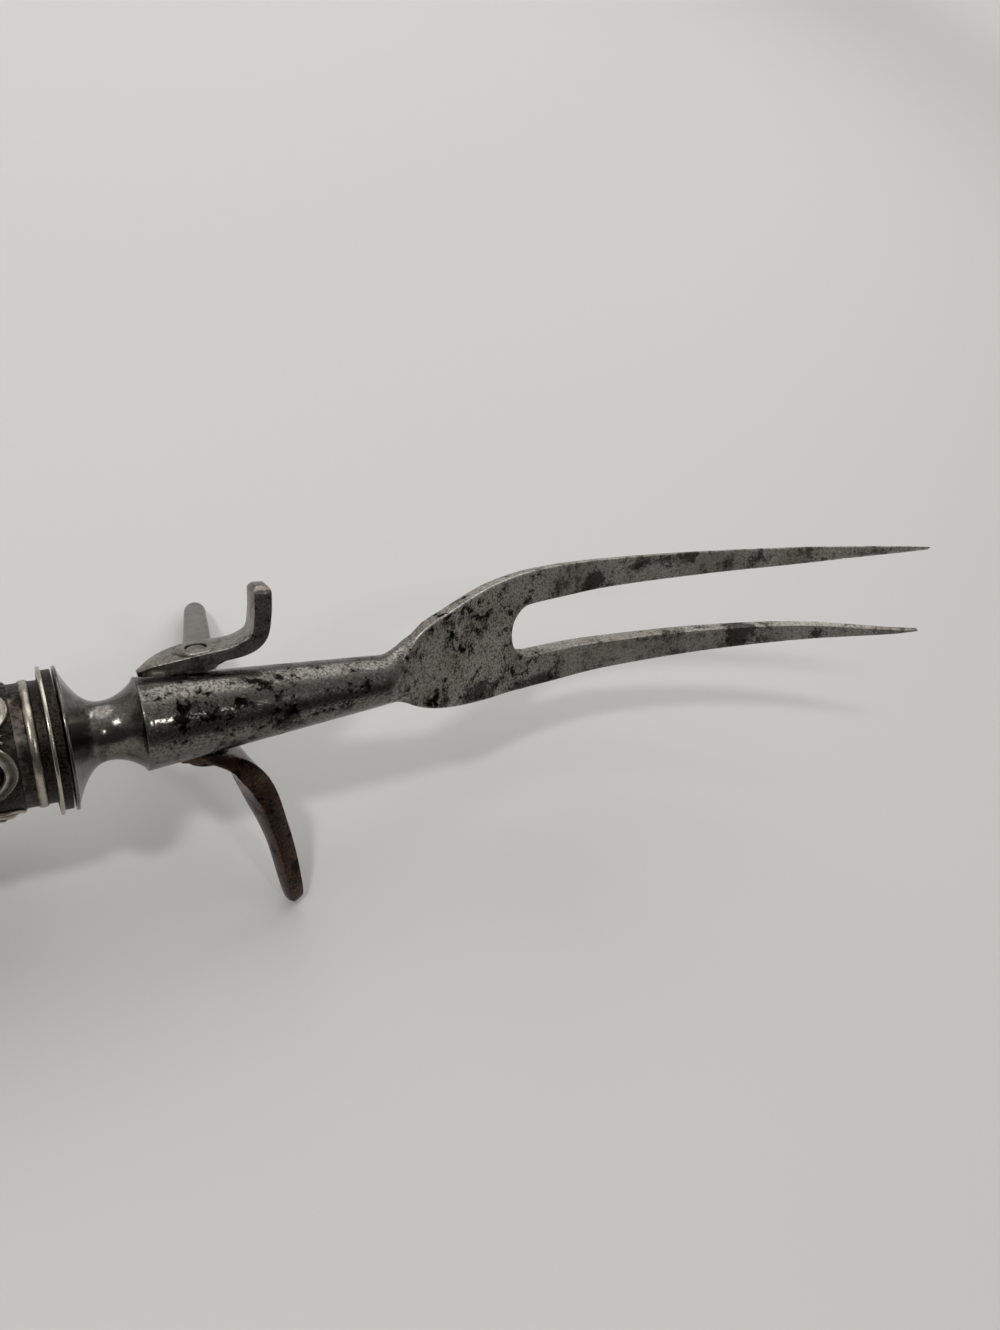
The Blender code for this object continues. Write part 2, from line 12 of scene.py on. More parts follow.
import bmesh
import bpy
import numpy as np
from mathutils import Euler, Matrix, Vector


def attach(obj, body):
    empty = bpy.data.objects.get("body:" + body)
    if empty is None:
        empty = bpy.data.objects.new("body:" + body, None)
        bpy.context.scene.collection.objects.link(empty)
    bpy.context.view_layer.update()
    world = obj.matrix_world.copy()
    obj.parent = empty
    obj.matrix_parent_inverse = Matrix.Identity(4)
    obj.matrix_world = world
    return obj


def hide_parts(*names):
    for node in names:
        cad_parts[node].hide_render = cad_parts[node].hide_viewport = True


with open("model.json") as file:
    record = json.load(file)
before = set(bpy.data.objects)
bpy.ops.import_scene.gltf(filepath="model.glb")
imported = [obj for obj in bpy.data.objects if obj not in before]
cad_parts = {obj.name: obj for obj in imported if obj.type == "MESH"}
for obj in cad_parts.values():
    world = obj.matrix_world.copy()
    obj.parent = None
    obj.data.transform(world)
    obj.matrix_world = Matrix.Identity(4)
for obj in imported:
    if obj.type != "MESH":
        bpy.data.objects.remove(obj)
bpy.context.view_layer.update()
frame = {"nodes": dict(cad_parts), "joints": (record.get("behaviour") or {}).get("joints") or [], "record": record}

MM = 0.001
GAP = 0.3
SHARP_ANGLE = math.radians(32)
TURNED_SIDES = 120
TURNED_EDGE_N = 4

# Forging: flange, waist, collar and tapered shank
FLANGE_R = 10.7
FLANGE_T = 0.5
RIM_W = 0.5
RIM_EDGE = 0.2
FLARE_POWER = 2.4
FLARE_N = 26
WAIST_L = 5.3
WAIST_R = 4.5
COLLAR_L = 4.8
COLLAR_N = 18
STEP_R = 7.2
STEP_H = 0.4
STEP_EDGE = 0.22
SHANK_L = 39.5
NECK_R = 4.2
TAPER_START = 1.0
TAPER_END_X = 46.0
TAPER_N = 24
FLAT_Y = 6.45
FLAT_SETBACK = 0.4
FLAT_RUNOUT = 4.0
TANG_L = 84.0
TANG_ROOT = (6.4, 5.0)
TANG_END = (3.6, 3.0)
TANG_LAP = 0.8
STEP_X = WAIST_L + COLLAR_L
NECK_X = STEP_X + SHANK_L

# Head: pairs of a place along X, or a share of the tine, and the size there
APEX_X = 52.5
PADDLE_X = 59.0
CROTCH_X = 79.2
CROTCH_L = 5.2
TIP_X = 172.95
FACE = ((51, 2.6), (52.5, 1.9), (54.5, 0.7), (57.1, -0.7), (63.2, -2.9), (77.2, -9.2), (91.3, -13.2),
        (104, -14.4), (126.6, -11.8), (148.6, -5.4), (168, 3.0), (173, 5.0))
HALF_WIDTH = ((47, 4.4), (49.6, 4.2), (51, 4.4), (53, 5.1), (55.2, 6.2), (58.8, 7.7), (63.2, 8.9),
              (70.5, 10.4), (76, 11.1), (82.7, 11.5), (90, 11.4), (104, 10.9), (126.6, 10.4), (148.6, 10.1),
              (168, 9.8), (173, 9.5))
THICKNESS = ((51, 3.6), (57.1, 4.0), (80, 4.0), (104, 3.5), (126.6, 2.8), (148.6, 2.1), (173, 0.5))
TINE_WIDTH = ((0, 6.6), (0.1, 6.5), (0.22, 5.9), (0.48, 4.9), (0.73, 3.5), (0.945, 1.1), (1, 0.25))
LOWER_BOW = ((79, 0), (84, 0.3), (92, 0.9), (105, 1.3), (127, 1.2), (149, 0.6), (168, 0.2), (173, 0))
BACK_TAPER = 0.045
NECK_TOP = ((47, 4.4), (49, 4.2), (50.4, 3.5), (51.5, 2.65), (52.5, 1.95))
NECK_BACK = ((47, -4.4), (50, -4.2), (53, -4.25), (57.1, -4.7), (60, -5.75))
NECK_WIDEST = ((47, 0), (50, -0.1), (51.5, -0.6), (53.3, -1.1), (55, -1.2), (57, -1.15), (59, -1.6))
NECK_SQUARE = ((47, 2), (50, 2), (53, 2.5), (56, 3.6), (59, 5))
TRUNCATE_RISE = 0.9
BLEND_X = 54.0
FACE_EDGE = 0.28
BACK_EDGE = 0.7
INNER_EDGE_GAP = 2.0

# Points round a section of the head: face, edge, wall, back corner, back, and the wall between the tines
FACE_N = 30
EDGE_N = 2
WALL_N = 12
CORNER_N = 8
BACK_N = 18
INNER_N = 14
FACE_SHARE = 0.96
EDGE_SHARE = 0.7
WALL_END = -pi / 6
CORNER_END = -pi / 3

# Stations along the head: first place, last place and count, then counts for the crotch and the tines
HEAD_STATIONS = ((47, 50, 8), (50.15, 58, 54), (58.5, CROTCH_X, 44))
CROTCH_N = 16
TINE_N = 84

# Guard
PIN_X = 20.0
PIN_Z = -2.5
PIN_R = 1.4
PIN_STAND = 0.05
PIN_DOME = 0.5
PIN_DOME_TURN = 1.45
PIN_DOME_N = 9
PIN_HEAD_R = 1.69
PIN_HEAD_L = 1.2
PIN_SIDES = 40
BORE_SIDES = 48
PRONG_L = 54.9
PRONG_LEAN = math.radians(10.6)
PRONG_T = 2.8
PRONG_ROOT_W = 6.0
PRONG_TIP_W = 4.2
PRONG_BOSS_R = 3.4
PRONG_BOSS_ARC = (0.25 * pi, 1.75 * pi)
PRONG_BOSS_N = 37
PRONG_SHOULDER = 2.2
PRONG_EDGE = 1.2
PRONG_EDGE_N = 6
PRONG_END_L = 6.0
PRONG_END_N = 25
HEEL_REACH = 6.0
HEEL_T = 1.9
HEEL_L = 5.3
SLOT_BACK_X = 16.2
SLOT_FRONT_X = 37.0
SLOT_Z = 2.2
EYE_EDGE = 0.4
EYE_EDGE_N = 5
EYE_SIDES = 64
LEVER_EYE = (3.1, 3.15)
LEVER_PATH = ((-9, 0.75), (-0.5, 2.25), (6, 2.65), (9.1, 4.15), (10.1, 7.45), (10.5, 12.15))
LEVER_THICK = ((0, 1.0), (0.1, 1.9), (0.5, 2.1), (0.65, 2.7), (1, 3.0))
LEVER_WIDTH = ((0, 1.2), (0.15, 5.6), (0.3, 7.4), (0.45, 6.8), (0.6, 5.4), (0.7, 4.9), (0.95, 4.6), (1, 4.0))
LEVER_SHIFT = ((0, 0), (0.15, -0.6), (0.3, -0.5), (0.5, -0.4), (0.7, 0), (1, 0))
LEVER_END = 1.2
FOOT_PATH = ((-8.4, 0.5), (-0.5, 0.85), (2.5, 1.2), (5.6, 1.9))
FOOT_THICK = ((0, 0.8), (0.5, 1.5), (0.75, 1.5), (1, 0.5))
FOOT_WIDTH = ((0, 1.0), (0.3, 3.4), (0.6, 3.8), (1, 3.2))
FOOT_SHIFT = ((0, 0), (1, 0))
FOOT_END = 0.3
ARM_EYE = (3.4, 2.2)
ARM_PATH = ((-4.4, 1.2), (0, 1.2), (4.5, 3.8), (9, 16.05), (11.5, 31.3))
ARM_THICK = ((0, 1.4), (0.12, 1.8), (0.2, 2.8), (0.28, 3.7), (0.4, 3.9), (0.6, 3.5), (0.85, 3.2), (0.97, 2.6),
             (1, 1.6))
ARM_WIDTH = ((0, 3.6), (0.12, 7.8), (0.25, 7.6), (0.4, 5.0), (0.6, 3.2), (0.85, 2.7), (0.97, 2.3), (1, 1.4))
ARM_SHIFT = ((0, 0), (0.5, 2.0), (1, 2.0))
ARM_END = 0.8
ARM_TWIST = math.radians(24)
TWIST_SPAN = (0.2, 0.5)
RIBBON_STEPS = 160
RIBBON_EDGE = 0.18
RIBBON_EDGE_SHARE = 0.4
RIBBON_EDGE_N = 4
RIBBON_CROWN = 0.16
RIBBON_CROWN_SHARE = 0.3
RIBBON_FACE_N = 11
RIBBON_BACK_N = 7
END_SLIM = 0.4
END_POWER = 2.5

# Silver handle
SILVER_X = -0.8
LIP_X = -2.05
LIP_R = 10.9
LIP_EDGE = 0.2
LIP_EDGE_N = 5
LIP_GROOVE_DEPTH = 0.6
BAND_X = -2.6
BAND_R = 9.0
BAND_FILLET = 0.1
BEAD_X = -4.6
BEAD_R = 0.7
BEAD_HALF_W = 0.85
BEAD_SEAT_R = 7.65
BEAD_SIDES = 20
BORE_R = 6.75
SLEEVE_X = -13.1
SHELL_X = -6.8
SHELL_L = 100.2
SHELL_R = ((0, 9.5), (0.14, 10.6), (0.4, 11.7), (0.7, 10.7), (0.92, 11.5), (1, 12.2))
SHELL_T = 0.8
SHELL_MEET_L = 3.0
SHELL_MEET_RISE = 0.05
SHELL_N = 150
SHELL_RIBS = 90
SEAM = 0.4
SHELL_BACK_X = SHELL_X - SHELL_L
BUTT_RIM_X = -107.3
BUTT_X = -116.97
BUTT_R = 12.85
BUTT_FLAT_R = 5.0
BUTT_T = 1.2
BUTT_BAND = 1.6
BUTT_EDGE = 0.5
BUTT_N = 25

# Scrolls of the handle: rows of volutes that branch off a waving stem
SCROLL_R = 11.0
SCROLL_ROWS = 3
SCROLL_COLUMNS = 8
SCROLL_STEP = 12.6
SCROLL_MARGIN = 5.1
SCROLL_PROUD = 0.5
SCROLL_SAMPLES = 300
VOLUTE_R = 4.7
VOLUTE_START_R = 1.3
VOLUTE_TURNS = 1.25
VOLUTE_N = 40
STRAND_R = 1.0
STRAND_N = 24
STRAND_RISE = 0.62
STRAND_HOLLOW = 0.3
STRAND_RIM = 1.25
STRAND_RIM_FROM = 0.6
STRAND_TIP = 0.55
STRAND_FULL = 0.7
STEM_N = 200
BALL_SEGMENTS = 12
BALL_RINGS = 8
EYE_SHAPE = (1.35, 1.35, 0.75)
LOBE_SHIFT = (1.7, 0.0, 0.0)
LOBE_SHAPE = (1.75, 0.62, 0.6)
LEAF_N = 15
LEAF_FIRST = 7
LEAF_SMALL = 0.75
LEAF_LARGE = 1.1
FAN_N = 7
FAN_LIFT = 0.15
FAN_EDGE = 0.12
FAN_SHORT = 0.5
FAN_LONG = 1.15
FAN_RIB = 0.8

# Marks on the steel: kind, real size in millimetres, detail and roughness of its noise. Grain and freckles
# are finer on a real fork, and are drawn as coarse as they need to show.
STEEL_MARKS = (("cloud", 5.0, 7.0, 0.68), ("freckle", 0.42, 3.0, 0.7), ("mottle", 2.3, 9.0, 0.74),
               ("grain", 0.45, 3.0, 0.6), ("patch", 9.0, 3.0, 0.5))
NOISE_LOW = 0.3
NOISE_HIGH = 0.7
FRECKLE_FROM = 0.5
FRECKLE_SOFT = 0.14
FRECKLE_SHARE = 0.75
MOTTLE_FROM = 0.525
MOTTLE_SOFT = 0.075
PIT_DRIFT = 0.06
PIT_DEPTH = 0.1
PIT_BUMP = 0.25
PIT_ROUGH = 0.7
GRAIN_LIFT = 0.35
STEP_SOFT = 0.6
WAIST_PITS = 0.3
TINE_FADE = (80.0, 98.0)
TINE_PITS = 0.6
RAGGED = 0.35
STAIN_FROM = 0.74
STAIN_SOFT = 0.1
STAIN_SHARE = 0.8
BROWN_FROM = 0.45
BROWN_FULL = 0.62
POLISH_DRIFT = 0.14
ROUND_GLOSS = 0.45
# Share of painted shade on the round parts behind the paddle, standing in for the dark room they mirror
ROUND_DIM = 0.62
FACE_DULL = 1.45
# Pale line along the crisp edges of face and tines: rubbed wear, with a painted highlight where they catch the
# light
EDGE_LINE = 0.22
EDGE_SOFT = 1.6
EDGE_FADE = (70.0, 95.0)
EDGE_LEFT = 0.12
EDGE_SAMPLES = 400
RUB_FROM = 0.35
RUB_TO = 0.6
RUB_MOST = 0.9
RUB_LEAST = 0.4
# Colour of the painted shade on the round parts behind the paddle
PAINTED_SHADE_STEEL = "#26221f"
DAMP_STAIN = "#1e1a18"
PIT_BLACK = "#100d0c"
RUBBED_EDGE_AND_HIGHLIGHT = "#e8e5df"

# Damp stains: place along X and Y, reach along and across, and strength
STAINS = ((70, -9, 8, 2, 0.22), (86, -11, 7, 1.5, 0.24), (100, 6, 4, 2, 0.24), (121, 10, 4, 2, 0.22),
          (112, 9, 4, 1.5, 0.16), (135, -8, 3, 3, 0.36), (152, -9, 3, 2, 0.18), (30, -3, 6, 3, 0.14))

# Silver and pitch: sizes of their marks in millimetres, with the grit as coarse as it needs to show
SMEAR_MM = 2.5
SMEAR_DETAIL = 5.0
SMEAR_ROUGH = 0.65
SMEAR_DRIFT = 0.22
GRIT_MM = 0.35
GRIT_DETAIL = 3.0
GRIT_DEPTH = 0.04
GRIT_BUMP = 0.5
SHINE_FROM = 0.12
SHINE_FULL = 0.85
TARNISH_FROM = 0.35
TARNISH_FULL = 0.6
BLACK_SILVER = "#14110f"
BROWN_SILVER = "#37322c"
RUBBED_SILVER = "#b5ada1"
HOLLOW_ROUGH = 0.5
RUBBED_ROUGH = 0.24
LIP_WEAR = 0.8
BAND_WEAR = 0.28
LIP_WEAR_DEPTH = 0.25
BAND_WEAR_DEPTH = 0.2
BUTT_WEAR = 0.55
SHELL_WEAR = 0.1
BEAD_WEAR_H = 0.5
FLOW_MM = 4.0
FLOW_DETAIL = 3.0
PITCH_DARK = "#0e0b0a"
PITCH_PALE = "#2c2420"
PITCH_ROUGH = 0.7

# Floor and room, in metres
FLOOR_REACH = 3.0
FLOOR_COLOUR = "#d3d1ce"
FLOOR_ROUGH = 0.6
ROOM_COLOUR = (1.0, 0.99, 0.97, 1.0)
ROOM_LOW = 0.42
ROOM_HIGH = 0.62
ROOM_TOP = 0.9
ROOM_FRONT = 0.15
FRONT_FROM = -0.75
FRONT_TO = 0.3

# Lamps: name, place and aim in metres, width and watts
LAMPS = (("side_lamp", (-0.74, -0.2, 1.16), (0, 0, 0), 0.14, 4.6),
         ("back_lamp", (0.1, 0.75, 0.8), (0, 0.1, 0), 1.2, 4.6),
         ("far_lamp", (1.9, 1.5, 1.4), (1.9, 1.5, 0), 1.0, 11.0),
         ("front_lamp", (0.2, -0.75, 1.06), (0, 0, 0), 0.12, 0.9))

# Camera: its turn about X, Y and Z in radians and its shift, fitted to the photographed outline
LENS_MM = 36.0
SENSOR_MM = 36.0
CAMERA_TURN = (0.397, 0.452, 0.184)
CAMERA_SHIFT = (-63.18, -10.57, -145.97)


def through(points, x):
    """Smooth curve through given points, read at x."""
    xs = [p[0] for p in points]
    ys = [p[1] for p in points]
    last = len(points) - 1
    slopes = []
    for i in range(len(points)):
        a, b = max(i - 1, 0), min(i + 1, last)
        slopes.append((ys[b] - ys[a]) / (xs[b] - xs[a]))
    i = max(0, min(last - 1, sum(1 for v in xs if v <= x) - 1))
    step = xs[i + 1] - xs[i]
    t = min(max((x - xs[i]) / step, 0.0), 1.0)
    return ((2 * t**3 - 3 * t**2 + 1) * ys[i] + (t**3 - 2 * t**2 + t) * step * slopes[i]
            + (3 * t**2 - 2 * t**3) * ys[i + 1] + (t**3 - t**2) * step * slopes[i + 1])


def spaced(first, last, count):
    return [first + (last - first) * i / (count - 1) for i in range(count)]


def quarter(count):
    return spaced(0, pi / 2, count)


def circle(sides):
    return [2 * pi * i / sides for i in range(sides)]


def smooth_path(points, count):
    """Even steps along a smooth curve through a few points of a plane."""
    lengths = [0.0]
    for a, b in zip(points, points[1:]):
        lengths.append(lengths[-1] + math.dist(a, b))
    columns = [list(zip(lengths, values)) for values in zip(*points)]
    return [tuple(through(column, s) for column in columns) for s in spaced(0, lengths[-1], count)]


def ease(x, low, high):
    t = min(max((x - low) / (high - low), 0.0), 1.0)
    return t * t * (3 - 2 * t)


def own_frame(record):
    """The fork's own frame in the row frame, from the butt's axis and the guard's hinge."""
    butt = next(m for m in record["mounts"] if m["name"] == "butt_face")
    hinge = next(j for j in frame["joints"] if j["name"] == "guard_fold")
    x = -Vector(butt["axis"]).normalized()
    y = -Vector(hinge["axis"]).normalized()
    turn = Matrix((x, y, x.cross(y))).transposed()
    origin = Vector(hinge["pos_m"]) - turn @ Vector((PIN_X, 0, PIN_Z)) * MM
    return Matrix.Translation(origin) @ turn.to_4x4()


OWN = own_frame(frame["record"])
LAY_DOWN = OWN @ Matrix.Scale(MM, 4)


# Meshes

def link_object(name, data):
    obj = bpy.data.objects.new(name, data)
    bpy.context.scene.collection.objects.link(obj)
    return obj


def face_outwards(mesh):
    bm = bmesh.new()
    bm.from_mesh(mesh)
    bmesh.ops.recalc_face_normals(bm, faces=bm.faces)
    bm.to_mesh(mesh)
    bm.free()


def add_mesh(name, points, faces):
    """Object of a closed mesh in the fork's own millimetres, with its faces turned outwards."""
    mesh = bpy.data.meshes.new(name)
    mesh.from_pydata([tuple(p) for p in points], [], faces)
    face_outwards(mesh)
    return link_object(name, mesh)


def strip(a, b):
    """Faces between two equal rings of point numbers."""
    size = len(a)
    return [(a[i], a[(i + 1) % size], b[(i + 1) % size], b[i]) for i in range(size)]


def loft(name, rings, ring_round=False):
    """Closed solid through equal rings of points, capped at both ends or run round into a ring."""
    size = len(rings[0])
    rows = [tuple(range(k * size, (k + 1) * size)) for k in range(len(rings))]
    onward = rows[1:] + rows[:1] if ring_round else rows[1:]
    faces = [face for a, b in zip(rows, onward) for face in strip(a, b)]
    if not ring_round:
        faces += [rows[0], rows[-1]]
    return add_mesh(name, [p for ring in rings for p in ring], faces)


def turned(name, profile):
    """Ring turned about X from a closed profile of places along X and radii."""
    rings = [[(x, r * cos(a), r * sin(a)) for x, r in profile] for a in circle(TURNED_SIDES)]
    return loft(name, rings, ring_round=True)


def cross_rod(name, stations, sides):
    """Solid turned about the guard's hinge line: stations are pairs of place along Y and radius."""
    return loft(name, [[(PIN_X + r * cos(a), y, PIN_Z + r * sin(a)) for a in circle(sides)]
                       for y, r in stations])


def block(name, low, high):
    corners = [[(x, low[1], low[2]), (x, high[1], low[2]), (x, high[1], high[2]), (x, low[1], high[2])]
               for x in (low[0], high[0])]
    return loft(name, corners)


def settle(obj):
    """Turns an object with its modifiers into one with a plain mesh."""
    graph = bpy.context.evaluated_depsgraph_get()
    mesh = bpy.data.meshes.new_from_object(obj.evaluated_get(graph))
    obj.modifiers.clear()
    obj.data = mesh


def combine(obj, helper, operation):
    """Boolean with a helper, which is then removed."""
    cut = obj.modifiers.new(operation, "BOOLEAN")
    cut.operation = operation
    cut.solver = "EXACT"
    cut.object = helper
    settle(obj)
    bpy.data.objects.remove(helper, do_unlink=True)


def drill(obj):
    """Bore for the cross pin, right through a piece."""
    reach = 3 * FLAT_Y
    bore = PIN_R + GAP
    combine(obj, cross_rod("drill", ((-reach, bore), (reach, bore)), BORE_SIDES), "DIFFERENCE")


def soften(obj, width, segments):
    """Rounds the sharp edges of a piece."""
    bevel = obj.modifiers.new("edges", "BEVEL")
    bevel.width = width
    bevel.segments = segments
    bevel.limit_method = "ANGLE"
    bevel.angle_limit = SHARP_ANGLE
    settle(obj)


def place_piece(obj, look, body, slot, *nodes):
    """Lays a finished piece down in the row frame under its body, gives it its look, and hides the imported parts
    it stands for.
    """
    obj.data.transform(LAY_DOWN)
    obj.data.shade_smooth()
    obj.data.set_sharp_from_angle(angle=SHARP_ANGLE)
    obj.data.materials.clear()
    obj.data.materials.append(look)
    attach(obj, body)
    if nodes:
        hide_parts(*nodes)


# Forged head

def shank_radius(x):
    return STEP_R + (NECK_R - STEP_R) * (x - STEP_X) / SHANK_L


def turned_stations():
    """Outline of the turned part of the forging, from the flange's back to the end of the straight taper."""
    turns = quarter(TURNED_EDGE_N)
    stations = [(-FLANGE_T + RIM_EDGE * (1 - sin(a)), FLANGE_R - RIM_EDGE * (1 - cos(a)))
                for a in turns[::-1]]
    stations += [(-RIM_EDGE * (1 - sin(a)), FLANGE_R - RIM_EDGE * (1 - cos(a))) for a in turns]
    flare = FLANGE_R - RIM_W - WAIST_R
    for x in spaced(0.0, WAIST_L, FLARE_N):
        stations.append((x, WAIST_R + flare * (1 - x / WAIST_L) ** FLARE_POWER))
    rise = STEP_R - STEP_H - WAIST_R
    for x in spaced(WAIST_L, STEP_X - STEP_EDGE, COLLAR_N)[1:]:
        stations.append((x, WAIST_R + rise * ((x - WAIST_L) / COLLAR_L) ** 2))
    for a in turns:
        stations.append((STEP_X + STEP_EDGE * (1 - cos(a)), STEP_R - STEP_EDGE * (1 - sin(a))))
    for x in spaced(STEP_X + TAPER_START, TAPER_END_X, TAPER_N):
        stations.append((x, shank_radius(x)))
    return stations


def face_height(x):
    return through(FACE, x)


def neck_half_section(x, top, back, widest, half, square):
    """Half of a round section, flattened where the face cuts it, from its top over the side to its back."""
    rise, fall = top - widest, widest - back
    cut = face_height(x) if x > APEX_X else math.inf

    def upper(y):
        return min(cut, widest + rise * math.sqrt(max(0.0, 1 - (y / half) ** 2)))

    def lower(y):
        return widest - fall * (1 - min(1.0, y / half) ** square) ** (1 / square)

    start = math.acos(FACE_SHARE)
    edge_end = EDGE_SHARE * start
    across = [half * FACE_SHARE * i / FACE_N for i in range(FACE_N + 1)]
    across += [half * cos(a) for a in spaced(start, edge_end, EDGE_N + 1)[1:]]
    points = [(y, upper(y)) for y in across]
    for a in spaced(edge_end, WALL_END, WALL_N + 1)[1:]:
        y = half * cos(a)
        points.append((y, upper(y) if a > 0 else lower(y)))
    across = [half * cos(a) for a in spaced(WALL_END, CORNER_END, CORNER_N + 1)[1:]]
    across += [half / 2 * (1 - i / BACK_N) for i in range(1, BACK_N + 1)]
    return points + [(y, lower(y)) for y in across]


def flat_half_section(front, back, inner_front, inner_back, top, low, edge, corner):
    """Half of a flat section from its inner edge over the crisp face edge and wall to the rounded back."""
    points = [(inner_front + (front - edge - inner_front) * i / FACE_N, top) for i in range(FACE_N + 1)]
    for a in quarter(EDGE_N + 1)[1:]:
        points.append((front - edge * (1 - sin(a)), top - edge * (1 - cos(a))))
    wall_low = low + corner
    for i in range(1, WALL_N + 1):
        t = i / WALL_N
        points.append((front + (back - front) * t, top - edge + (wall_low - top + edge) * t))
    for a in quarter(CORNER_N + 1)[1:]:
        points.append((back - corner * (1 - cos(a)), wall_low - corner * sin(a)))
    for i in range(1, BACK_N + 1):
        points.append((back - corner + (inner_back - back + corner) * i / BACK_N, low))
    return points


def half_section(x):
    """Half section of shank, neck or paddle at a place along X, on the side of the upper tine."""
    half = through(HALF_WIDTH, x)
    top, low = face_height(x), face_height(x) - through(THICKNESS, x)
    back = half * (1 - BACK_TAPER)
    flat = flat_half_section(half, back, 0, 0, top, low, FACE_EDGE, BACK_EDGE)
    if x >= PADDLE_X:
        return flat
    crown = through(NECK_TOP, x) if x <= APEX_X else top + TRUNCATE_RISE * (x - APEX_X)
    neck = neck_half_section(x, crown, through(NECK_BACK, x), through(NECK_WIDEST, x), half,
                             through(NECK_SQUARE, x))
    share = ease(x, BLEND_X, PADDLE_X)
    return [((1 - share) * a + share * c, (1 - share) * b + share * d) for (a, b), (c, d) in zip(neck, flat)]


def round_half_section(r):
    return neck_half_section(0, r, -r, 0, r, 2)


def half_split(x):
    """Half the gap between the tines: a round crotch, and then what the tines' widths leave."""
    round_end = CROTCH_X + CROTCH_L
    tine = through(TINE_WIDTH, (x - round_end) / (TIP_X - round_end))
    closing = min(1.0, max(0.0, (round_end - x) / CROTCH_L))
    return (through(HALF_WIDTH, x) - tine) * math.sqrt(1 - closing**2)


def tine_section(x, bow):
    """Section of one tine, set out by its bow: its outer part as on the paddle, then the wall to the gap."""
    half, split = through(HALF_WIDTH, x) + bow, half_split(x) + bow
    top, thick = face_height(x), through(THICKNESS, x)
    wide = half - split
    edge = min(FACE_EDGE, thick / 5, wide / 5)
    corner = min(BACK_EDGE, thick / 3, wide / 3)
    inner_edge = edge * ease(split, 0, INNER_EDGE_GAP)
    back, inner_back = half * (1 - BACK_TAPER), split * (1 - BACK_TAPER)
    low = top - thick
    points = flat_half_section(half, back, split + inner_edge, inner_back + inner_edge, top, low, edge,
                               corner)
    for i in range(1, INNER_N):
        t = i / INNER_N
        z = low + inner_edge + (thick - 2 * inner_edge) * t
        points.append((inner_back + (split - inner_back) * t, z))
    return points


def forged_head():
    """Flange, waist, shank, neck, paddle and both tines in one skin, then the tang and the guard's cuts."""
    halves = [(x, round_half_section(r)) for x, r in turned_stations()]
    halves += [(x, half_section(x)) for span in HEAD_STATIONS for x in spaced(*span)]
    size = len(halves[0][1])
    points, faces, rings = [], [], []
    for x, half in halves:
        start = len(points)
        points += [(x, y, z) for y, z in half]
        points += [(x, -y, z) for y, z in half[-2:0:-1]]
        rings.append(tuple(range(start, len(points))))
    for a, b in zip(rings, rings[1:]):
        faces += strip(a, b)
    faces.append(rings[0])

    last = rings[-1]
    top, low = points[last[0]], points[last[size - 1]]
    wall = []
    for i in range(1, INNER_N):
        wall.append(len(points))
        points.append((top[0], 0.0, low[2] + (top[2] - low[2]) * (i / INNER_N)))
    stations = [CROTCH_X + CROTCH_L * (1 - cos(a)) for a in quarter(CROTCH_N)[1:]]
    stations += spaced(CROTCH_X + CROTCH_L, TIP_X, TINE_N)[1:]
    for side in (1, -1):
        near = [last[side * i] for i in range(size)] + wall
        for x in stations:
            start = len(points)
            bow = through(LOWER_BOW, x) if side < 0 else 0.0
            points += [(x, side * y, z) for y, z in tine_section(x, bow)]
            far = tuple(range(start, len(points)))
            faces += strip(near, far)
            near = far
        faces.append(near)
    head = add_mesh("fork_forging", points, faces)

    ends = ((TANG_LAP - FLANGE_T, TANG_ROOT), (-TANG_L, TANG_END))
    tang = loft("tang", [[(x, sy * w / 2, sz * h / 2) for sy, sz in ((-1, -1), (1, -1), (1, 1), (-1, 1))]
                         for x, (w, h) in ends])
    combine(head, tang, "UNION")
    for side in (-1, 1):
        near, far = sorted((side * FLAT_Y, side * 2 * FLAT_Y))
        flat = block("flat", (STEP_X + FLAT_SETBACK, near, -FLANGE_R), (NECK_X - FLAT_RUNOUT, far, FLANGE_R))
        combine(head, flat, "DIFFERENCE")
    room = PRONG_T / 2 + GAP
    slot = block("slot", (SLOT_BACK_X, -room, -FLANGE_R), (SLOT_FRONT_X, room, SLOT_Z))
    combine(head, slot, "DIFFERENCE")
    drill(head)
    return head


# Guard

def guard_prong():
    """Long back prong with its eye, heel, taper and rounded end."""
    tip_r = PRONG_TIP_W / 2
    shank = shank_radius(PIN_X - HEEL_REACH) + GAP
    heel = (shank + PIN_Z - HEEL_REACH * sin(PRONG_LEAN)) / cos(PRONG_LEAN)
    outline = [(PRONG_BOSS_R * cos(a), PRONG_BOSS_R * sin(a))
               for a in spaced(*PRONG_BOSS_ARC, PRONG_BOSS_N)]
    outline += [(heel, -PRONG_ROOT_W / 2), (heel, -HEEL_REACH), (heel + HEEL_T, -HEEL_REACH),
                (heel + HEEL_L, -PRONG_ROOT_W / 2)]
    outline += [(PRONG_L - PRONG_END_L * (1 - cos(a)), tip_r * sin(a))
                for a in spaced(-pi / 2, pi / 2, PRONG_END_N)]
    outline.append((PRONG_BOSS_R + PRONG_SHOULDER, PRONG_ROOT_W / 2))
    heading = Vector((sin(PRONG_LEAN), -cos(PRONG_LEAN)))
    side = Vector((cos(PRONG_LEAN), sin(PRONG_LEAN)))
    places = [heading * u + side * v for u, v in outline]
    prong = loft("back_prong", [[(PIN_X + p.x, y, PIN_Z + p.y) for p in places]
                                for y in (-PRONG_T / 2, PRONG_T / 2)])
    soften(prong, PRONG_EDGE, PRONG_EDGE_N)
    drill(prong)
    return prong


